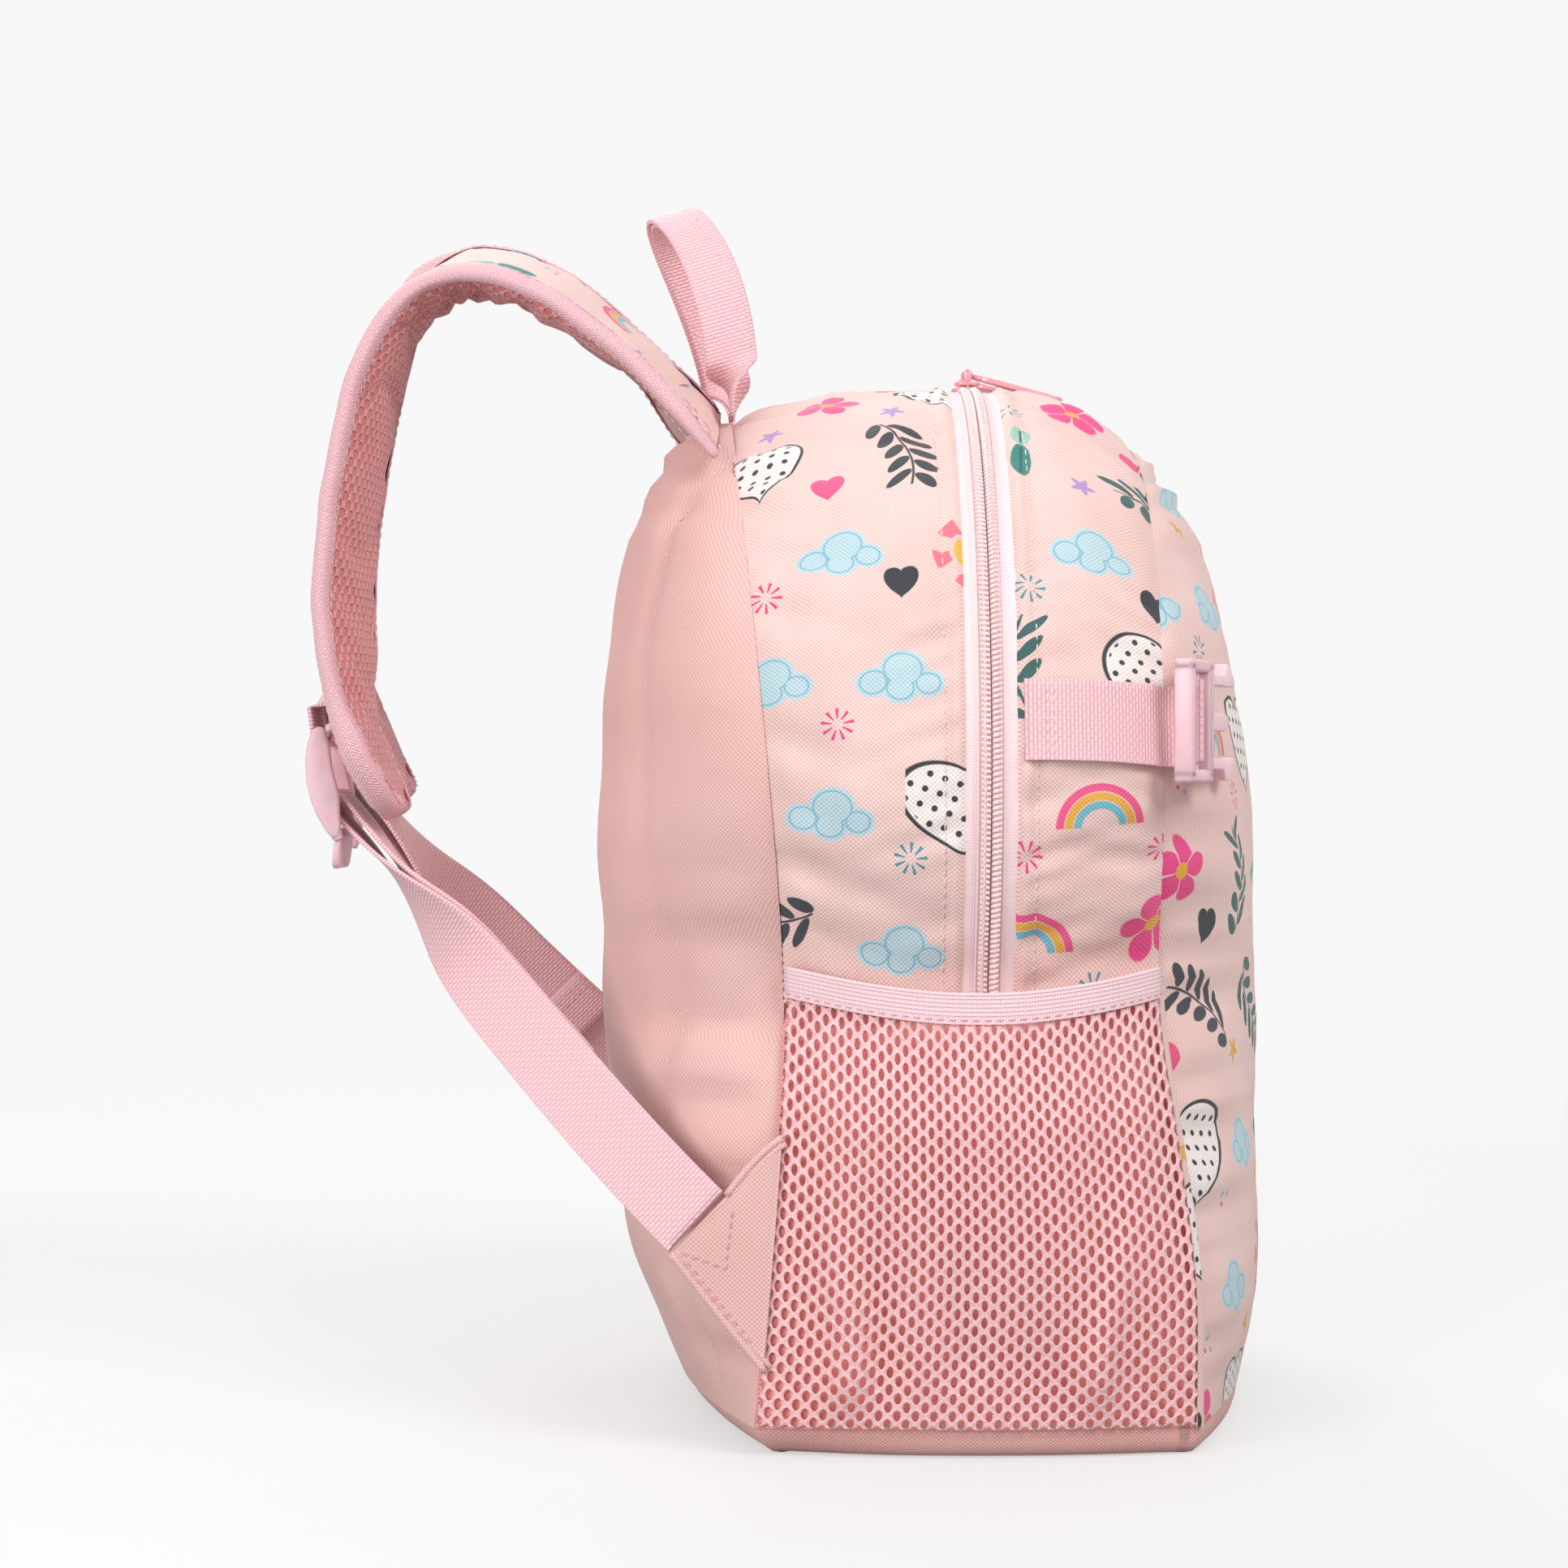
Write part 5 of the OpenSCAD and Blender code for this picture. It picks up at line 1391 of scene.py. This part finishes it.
def swell(o, pins, pressure, cap, grow, frames, stiff=8.0):
    """Inflates a closed pad as cloth, and keeps the mesh it reaches, moved by less than cap mm."""
    me = o.data
    rest = places(me)
    g = o.vertex_groups.new(name="pin")
    g.add([int(i) for i in pins], 1.0, "REPLACE")
    m = o.modifiers.new("cloth", "CLOTH")
    c = m.settings
    c.quality, c.mass = 6, 0.15
    c.tension_stiffness = c.compression_stiffness = stiff
    c.shear_stiffness, c.bending_stiffness = stiff * 0.5, 0.08
    c.vertex_group_mass, c.pin_stiffness = "pin", 8.0
    c.use_pressure, c.uniform_pressure_force = pressure != 0, pressure
    c.shrink_min = -grow
    c.effector_weights.gravity = 0
    c.effector_weights.all = 0
    m.point_cache.frame_start, m.point_cache.frame_end = 1, frames
    sc = bpy.context.scene
    for fr in range(1, frames + 1):
        sc.frame_set(fr)
    move = places(o.evaluated_get(bpy.context.evaluated_depsgraph_get()).data) - rest
    o.modifiers.clear()
    sc.frame_set(1)
    size = np.linalg.norm(move, axis=1, keepdims=True)
    lim = cap * MM
    move *= lim * np.tanh(size / lim) / np.maximum(size, 1e-9)
    me.vertices.foreach_set("co", (rest + move).astype(np.float32).ravel())
    me.update()
    o.vertex_groups.clear()


def strap_pad(P, side):
    """The pad as one closed form: printed face, quilted edges and a creased mesh lining."""
    tip = STRAP_N - np.array([1.35, 1.1, 0.85, 0.62, 0.42, 0.26, 0.16])
    s = np.concatenate([np.linspace(NECK - 0.05, STRAP_N - 1.6, 96), tip])
    c, d, w, o = strap_frame(P, s)
    h = (strap_hw(s) - 1.6)[:, None]
    kt = np.linspace(-1, 1, PAD_ROW)
    kb = kt[::-1]
    length = run(c)
    lg = length[:, None]
    # curvature crumples the lining on the inside of each bend
    curve = np.linalg.norm(np.gradient(d, axis=0), axis=1) / np.maximum(np.gradient(length), 1e-6)
    crease = np.clip(curve * 60, 0.25, 1.4)[:, None]
    top = 0.3 - 1.1 * np.abs(kt) ** 2.5 + waves(lg, kt * 30, 81, 38) * 0.55 * (1 - np.abs(kt) ** 4)
    phase = waves(lg * 0.6, kb * 34, 83, 90) * 2.2
    fold = np.sin(lg * TAU / 23 + phase) * (1 - np.abs(kb) ** 3)
    body = power(1 - kb**2, 0.45)
    thin = ease((length[-1] - lg) / 40) * ease(lg / 45)
    thin = thin * mix(1.0, 0.35, ease((s - 6.5) / 2.5))[:, None]
    low = LOW * thick(s)[:, None] + 2.2 * (1 - body) - 5.0 * body * thin
    low += (fold * 1.7 + waves(lg, kb * 30, 84, 17) * 0.6) * crease * thin
    ring = np.concatenate([around(c, w, kt * h, o, top), around(c, w, kb * h, o, low)], 1)
    u = np.concatenate([kt, kb]) * h + 500 * (side == "right")
    n, m, _ = ring.shape
    ends = list(range(m)), [(n - 1) * m + j for j in range(m)]
    F = [*quads(n, m, loop_m=True), ends[0][::-1], ends[1]]
    uv = np.stack([u, lg + 37 + 0 * u], -1).reshape(-1, 2)
    face = make("strap_face_" + side, ring.reshape(-1, 3), F, M_PRINT, uv)
    edge = [i * m + j for i in range(n) for j in (0, PAD_ROW - 1, PAD_ROW, m - 1)]
    swell(face, [*edge, *ends[0], *ends[1]], 3.0, 2.2, 0.02, 16)
    # the lining becomes its own piece
    lining = face.copy()
    lining.data = face.data.copy()
    lining.name = lining.data.name = "strap_lining_" + side
    bpy.context.scene.collection.objects.link(lining)
    lining.data.materials[0] = M_MESH
    for piece in (face, lining):
        bm = bmesh.new()
        bm.from_mesh(piece.data)
        other = []
        for f in bm.faces:
            is_top = len(f.verts) == 4 and max(v.index % m for v in f.verts) < PAD_ROW
            if is_top != (piece is face):
                other.append(f)
        bmesh.ops.delete(bm, geom=other, context="FACES")
        bm.to_mesh(piece.data)
        bm.free()
    return face, smooth(lining)


# section of the folded tape: in from the top face, round the edge, back under the lining
FOLDED = np.array([
    *[(-6.4, 0.5), (-6.2, 0.95), (-3.9, 0.75), (-1.7, 0.25), (-0.4, -1.1), (0.3, -3.0)],
    *[(0.3, -5.2), (-0.3, -6.8), (-1.4, -7.8), (-3.0, -8.3), (-4.8, -8.9), (-4.9, -8.3)],
    *[(-3.2, -7.4), (-1.9, -6.6), (-1.0, -5.0), (-1.0, -3.0), (-2.0, -0.9), (-4.0, -0.3)],
])


def binding(P, side):
    """Herringbone tape folded over both edges and round the end, with its stitch line."""
    tip = STRAP_N - np.array([1.5, 1.25, 1.0, 0.75, 0.52, 0.34, 0.2, 0.1, 0.04])
    s = np.concatenate([np.linspace(0.1, STRAP_N - 1.75, 100), tip])
    c, d, w, o = strap_frame(P, s)
    h = strap_hw(s)
    # down one edge, round the end and back up the other
    there = lambda a, mid, b: np.concatenate([a, mid, b[::-1]])
    L = there(c + w * h[:, None], c[-1:], c - w * h[:, None])
    O = there(o, o[-1:], o)
    N = unit(np.cross(O, unit(np.gradient(L, axis=0))))
    N = facing(N, there(w, d[-1:], -w))
    reach = np.minimum(1, there(h, [2.0], h) / 12)[:, None]
    both = there(s, s[-1:], s)
    lg = run(L)
    wob = (waves(lg, 0 * lg, 91, 21) * 0.5)[:, None] * (np.abs(FOLDED[:, 1] + 4) / 5)
    root = (mix(0.3, 1.0, ease(both / 1.2)) * thick(both))[:, None]
    deep = np.where(FOLDED[:, 1] < 0, FOLDED[:, 1] * root, FOLDED[:, 1])
    deep = deep - 1.2 * (1 - ease(both / 1.1))[:, None] + wob * root
    girth = run(np.concatenate([FOLDED, FOLDED[:1]]))
    uv = np.stack(np.broadcast_arrays(girth, lg[:, None]), -1)
    tape = tube("strap_edge_" + side, around(L, N, FOLDED[:, 0] * reach, O, deep), M_FARWEB, uv)
    below = L - N * 4.0 * reach - O * (8.6 * thick(both))[:, None]
    rows = [
        stitches("e", L - N * 5.2 * reach, O, M_PALE, 2.4, 1.1, 0.26, 0.98),
        stitches("e", below, -O, M_PALE, 2.4, 1.1, 0.26, 0.2),
    ]
    return tape, join("strap_edge_thread_" + side, rows)


def neck(P, side):
    """The flat, unpadded root of a strap, sewn into the back's seam."""
    s = np.linspace(0, NECK + 0.08, 22)
    c, _, w, o = strap_frame(P, s)
    h = STRAP_W / 2 - 1.4
    low = mix(-1.9, LOW * 0.62 + 0.2, ease(s / 1.2))[:, None]
    x = np.linspace(-1, 1, 25)
    s, rim = s[:, None], 0.6 * np.abs(x) ** 6
    top = -0.2 - 1.3 * (1 - ease(s / 1.1)) + waves(s * 20, x * 30, 93, 22) * 0.5 - rim
    faces = around(c, w, x * h, o, top), around(c, w, x[::-1] * h, o, low + rim[::-1])
    return tube("strap_neck_cloth_" + side, np.concatenate(faces, 1), M_PRINT)


# ---------------------------------------------------------------- locks, loops, lower webbing and tabs
LOCK_OUT, LOCK_UP, LOCK_LEAN, LOCK_PITCH, BAR_R = 5.8, -2.0, -9.0, 21.0, 1.6


def lock_axes(P):
    """The strap's end: its middle, then directions down it, across it and outward."""
    return [x[0] for x in strap_frame(P, np.array([STRAP_N - 1.75]))]


def lock_matrix(P):
    c, d, w, o = lock_axes(P)
    M = np.eye(4)
    M[:3] = np.stack([w, o, d, c], -1)
    return M @ turn_x(0, (0, LOCK_OUT, LOCK_UP)) @ turn_x(LOCK_LEAN)


def side_profile(name, pts, x0, x1, mat, bevel):
    """A plate whose outline is given as (y, z) and which runs across from x0 to x1."""
    o = outline_plate(name, pts, x0, x1, mat, bevel)
    M = np.zeros((4, 4))
    M[0, 2] = M[1, 0] = M[2, 1] = M[3, 3] = 1
    return place(o, M)


# a ladder lock's cheek from the side, a shallow C between its bars, and half of its tongue
CHEEK = [
    *[(-1.0, -2.4), (0.8, -3.4), (2.8, -2.6), (5.0, 1.5), (6.6, 7), (7.2, 14)],
    *[(6.7, 20), (5.2, 26), (3.0, 31), (1.2, 33.8), (-0.9, 33.6), (-1.7, 30)],
    *[(-2.2, 25), (-2.9, 20), (-2.2, 15), (-1.7, 10), (-1.9, 4)],
]
TONGUE = [(14.5, 0), (14.5, 8), (13.2, 11), (10.6, 12.2)]


def ladder(P, side):
    w = 17.5
    parts = []
    for x in (-w, w - 4):
        parts.append(side_profile("k", CHEEK[::-1], x, x + 4, M_LOCK, 1.3))
    for z in (0, LOCK_PITCH):
        parts.append(rod("k", (0.5 - w, 0, z), (w - 0.5, 0, z), BAR_R, M_LOCK))
    foot = (0.5 - w, -1.5, LOCK_PITCH + 9.5), (w - 0.5, 1.5, LOCK_PITCH + 13.5)
    parts.append(box_at("k", *foot, M_LOCK, 0.9))
    tongue = TONGUE + [(-x, y) for x, y in TONGUE[::-1]]
    tongue = outline_plate("k", tongue, -2.0, 0.1, M_LOCK, 0.6)
    # the plate's plane becomes across and down, and it leans like the CAD tongue
    parts.append(place(tongue, turn_x(-14, (0, -1.4, LOCK_PITCH + 11)) @ turn_x(90)))
    return place(join("strap_lock_" + side, parts), lock_matrix(P))


def lock_ring(P, side):
    """Short loop of webbing from the strap's end round the lock's upper bar."""
    M = lock_matrix(P)
    end, ln, rr = BAR_R + 0.3 + WEB_T, 14.3, (8.8 - WEB_T) / 2
    b = np.linspace(-90, 90, 15)
    over = np.stack([sind(b), cosd(b)], -1)
    z0 = end - ln + 1.0
    bend = over * rr + (0, end - WEB_T / 2 - rr)
    line = np.concatenate([[(-rr, z0)], bend, [(rr, z0), (0, z0 - 0.4), (-rr, z0)]])
    nor = np.concatenate([[(-1, 0)], over, [(1, 0), (0, -1), (-1, -0.3)]])
    # the section's plane is the lock's: outward and down
    turned = M[:3, 1:3].T
    C, W = line @ turned + M[:3, 3], np.tile(M[:3, 0], (len(line), 1))
    return ribbon("strap_loop_" + side, C, W, nor @ turned, WEB_W, WEB_T, M_WEB, across=11)


# the tab on the body's foot, and where the lower webbing is sewn to it
TAB_LOW, TAB_L, TAB_T = 27.0, 72.0, 3.0
TAB_X = float(half_w(TAB_LOW, REAR_DROP * drop_k(TAB_LOW))) + 0.3 + TAB_T / 2
WEB_END = np.array([TAB_X, 84.6, 72.6])
WEB_END_W = unit([0, -0.7, 0.72])


# thickness of the two layers of webbing, apart by the bar where they pass it
NEAR_BAR = 2 * BAR_R + WEB_T + 1


def web_parts(P, s):
    """The webbing's end at the tab, its tip at the lock's bar, its pull there and its width."""
    c, d, w, o = lock_axes(P)
    bar = c + o * (LOCK_OUT - LOCK_PITCH * sind(LOCK_LEAN))
    bar = bar + d * (LOCK_UP + LOCK_PITCH * cosd(LOCK_LEAN))
    e = WEB_END * [s, 1, 1]
    pull = square(bar - e, w)
    return e, bar + np.cross(pull, w) * NEAR_BAR / 2, pull, w


def web_frame(P, s, t):
    """Points along the lower webbing, directions along it, across it and outward."""
    e, b, pull, wl = web_parts(P, s)
    r = np.linalg.norm(b - e) * 0.34
    e2, b2 = e + unit(b - e) * r + np.array([s * 4, 2, -4]), b - pull * r

    def cen(t):
        t = t[..., None]
        u = 1 - t
        return u**3 * e + 3 * u * u * t * e2 + 3 * u * t * t * b2 + t**3 * b

    d = unit(cen(np.minimum(1, t + 0.02)) - cen(np.maximum(0, t - 0.02)))
    k = ease((t - 0.46) / 0.5)[..., None]
    w = square(unit(WEB_END_W * (1 - k) + wl * s * k), d)
    return cen(t), d, w, unit(np.cross(d, w)) * -s


def lower_web(P, s, side):
    c, d, w, n = web_frame(P, s, np.linspace(0.004, 1, 70))
    turn = np.linspace(12, 168, 13)[:, None]
    dirs = d[-1] * sind(turn) - n[-1] * cosd(turn)
    round_bar = c[-1] + n[-1] * NEAR_BAR / 2 + dirs * NEAR_BAR / 2
    # the tail comes back over the first layer, and its end stands off
    t2 = np.linspace(1, 0.36, 40)
    c2, _, w2, n2 = web_frame(P, s, t2)
    lift = mix(WEB_T + 0.5, NEAR_BAR, ease((t2 - 0.75) / 0.25)) + 1.8 * ease((0.5 - t2) / 0.14)
    tail = c2 + n2 * lift[:, None]
    C = np.concatenate([c, round_bar, tail])
    W, N = np.concatenate([w, np.tile(w[-1], (13, 1)), w2]), np.concatenate([-n, dirs, n2])
    main = ribbon("main", C, W, N, WEB_W, WEB_T, M_WEB, across=13)
    # hemmed end of the tail
    hem = (tail + n2 * WEB_T)[-7:], w2[-7:], n2[-7:]
    hem = ribbon("hem", *hem, WEB_W, WEB_T, M_WEB, across=9)
    row, nor = tail[-5] + w2[-5] * np.linspace(-11, 11, 9)[:, None], np.tile(n2[-5], (9, 1))
    sew = stitches("hem_s", row, nor, M_PALE, 2.2, 1.0, 0.26, WEB_T * 1.5 + 0.1)
    return join("lower_webbing_" + side, [main, hem]), sew


def bezier(a, b, c, n=13):
    t = np.linspace(0, 1, n)[:, None]
    return (1 - t) ** 2 * np.array(a) + 2 * t * (1 - t) * np.array(b) + t * t * np.array(c)


def tab(s, side):
    """Triangular tab of plain fabric with piped edges and a sewn triangle."""
    w = WEB_END_W * WEB_W / 2
    a, b = (WEB_END + w)[1:], (WEB_END - w)[1:]
    y1, y2 = (float(seam_rear(z)) - 1.8 for z in (TAB_LOW, TAB_LOW + TAB_L))
    top = bezier((y2, TAB_LOW + TAB_L), a + (-9.5, 12.5), a - 0.3)
    foot = bezier(b - 0.3, b - (13, 16.5), (y1, TAB_LOW))
    out = np.concatenate([top, foot])
    inner = np.mean(out, 0)
    # share of the outline and height of each ring, from the middle of the back to that of the face
    R = []
    for k, high in TAB_RINGS:
        flat = inner + (out - inner) * k
        R.append(np.column_stack([np.full(len(out), s * (TAB_X + high)), flat]))
    R = np.array(R)
    F = quads(len(R), len(out), loop_m=True)
    F = F if s > 0 else F[:, ::-1]
    parts = [make("t", R.reshape(-1, 3), F, M_PLAIN, R[..., 1:].reshape(-1, 2))]
    raised = lambda line, high: np.column_stack([np.full(len(line), s * (TAB_X + high)), line])
    for line in (top, foot):
        Q = resample(raised(line, 0.5), 2.0)
        X = np.tile([1.0, 0, 0], (len(Q), 1))
        Y = unit(np.cross(unit(np.gradient(Q, axis=0)), X))
        mid = len(Q) // 2
        outward = 1 if np.dot(Y[mid][1:], inner - Q[mid][1:]) < 0 else -1
        for dy, r in ((0.0, 1.25), (-2.1, 0.9)):
            parts.append(tube("t", hoops(Q + Y * dy * outward, X, Y, r, 9), M_PLAIN))
    edge = mix(foot[1:-1], inner, 0.13)
    tri = np.array([mix(foot[0], inner, 0.16), foot[0] - (17.0, 4.5), top[-1] - (2.0, 3.0)])
    rows = []
    for line in (edge, tri):
        Q = resample(raised(line, 1.75), 1.0)
        NQ = np.tile([s * 1.0, 0, 0], (len(Q), 1))
        rows.append(stitches("a", Q, NQ, M_PINK, 2.3, 1.0, 0.25, 0.15))
    return join("strap_anchor_" + side, parts), join("anchor_sewing_" + side, rows)


TAB_RINGS = [
    (0.0, -1.5),
    (0.98, -1.5),
    (1.0, -0.2),
    (0.995, 0.7),
    (0.97, 1.3),
    (0.93, 1.15),
    (0.75, 1.5),
    (0.4, 1.7),
    (0.0, 1.75),
]
for s, side, P in ((-1, "left", LEFT), (1, "right", RIGHT)):
    body = "shoulder_strap_" + side
    cover, lining = strap_pad(P, side)
    put(cover, body, "printed_fabric", "strap_cover_" + side)
    put(lining, body, "air_mesh", "strap_mesh_" + side, "strap_foam_" + side)
    edge, sew = binding(P, side)
    put(edge, body, "binding", "strap_binding_" + side)
    put(sew, body, "binding")
    put(neck(P, side), body, "printed_fabric", "strap_neck_" + side)
    put(lock_ring(P, side), body, "webbing", "lock_loop_" + side)
    put(ladder(P, side), "ladder_lock_" + side, "lock_plastic", "ladder_lock_" + side)
    web, sew = lower_web(P, s, side)
    put(web, body, "webbing", "strap_webbing_" + side)
    put(sew, body, "webbing")
    o, sew = tab(s, side)
    put(o, "bag_body", "plain_fabric", "strap_tab_" + side)
    put(sew, "bag_body", "plain_fabric")


# ---------------------------------------------------------------- floor, light and camera
def stage_set():
    k = Mat("floor", 0.9)
    n, radii = 96, np.array([0, 250, 400, 600, 900, 1300.0])
    a = TAU * np.arange(n) / n
    P = radii[:, None, None] * np.stack([np.cos(a), np.sin(a), 0 * a], -1)
    P[..., 1] += 15
    F = quads(len(radii), n, loop_m=True)
    o = make("floor", P.reshape(-1, 3), F, k.m, P[..., :2].reshape(-1, 2))
    k.done(k.mix(k.noise(0.3, 1), "#939393", "#999999"))
    # it glows for the camera alone, and fades out before its edge
    seen = node(k.t, "LightPath").outputs["Is Camera Ray"]
    glow = node(k.t, "Emission", {"Color": (1, 1, 1, 1), "Strength": FLOOR_GLOW}).outputs[0]
    glow = node(k.t, "MixShader", {0: seen, 2: glow}).outputs[0]
    lit = node(k.t, "AddShader", {0: k.b.outputs[0], 1: glow}).outputs[0]
    fade = (k.u * k.u + k.v * k.v).sqrt().near(0.55, 1.2)
    clear = node(k.t, "BsdfTransparent").outputs[0]
    floor = node(k.t, "MixShader", {0: fade, 1: clear, 2: lit}).outputs[0]
    k.t.links.new(floor, k.t.nodes["Material Output"].inputs["Surface"])

    scene = bpy.context.scene
    scene.world = bpy.data.worlds.new("studio")
    scene.world.use_nodes = True
    t = scene.world.node_tree
    light = t.nodes["Background"]
    light.inputs[0].default_value, light.inputs[1].default_value = (1, 1, 1, 1), WORLD_LIGHT
    wall = node(t, "Background", {0: hexcol("#f8f8f8"), 1: 1.0}).outputs[0]
    seen = node(t, "LightPath").outputs["Is Camera Ray"]
    both = node(t, "MixShader", {0: seen, 1: light.outputs[0], 2: wall}).outputs[0]
    t.links.new(both, t.nodes["World Output"].inputs[0])

    for name, at, size, watts in LAMPS:
        lamp = bpy.data.lights.new(name, "AREA")
        lamp.shape, lamp.size, lamp.energy = "DISK", size, watts
        o = bpy.data.objects.new(name, lamp)
        o.location = at
        aim = Vector((0, 0.03, 0.18)) - Vector(at)
        o.rotation_euler = aim.to_track_quat("-Z", "Y").to_euler()
        scene.collection.objects.link(o)

    camera = bpy.data.cameras.new("camera")
    camera.lens, camera.sensor_width, camera.clip_start = 36 * 3540 / 1932, 36, 0.05
    o = bpy.data.objects.new("camera", camera)
    o.location = (-1.0, 0.058, 0.208)
    o.rotation_euler = (math.radians(90), 0, math.radians(-90))
    scene.collection.objects.link(o)
    scene.camera = o
    scene.view_settings.view_transform = "Standard"


FLOOR_GLOW = 0.54
WORLD_LIGHT = 0.62
# Soft boxes: name, place, width and watts
LAMPS = [
    ("key", (-1.2, -1.1, 1.6), 1.0, 24),
    ("fill", (-1.5, 1.3, 0.7), 1.2, 21),
    ("rim", (1.2, 0.6, 1.5), 1.0, 12),
]
stage_set()
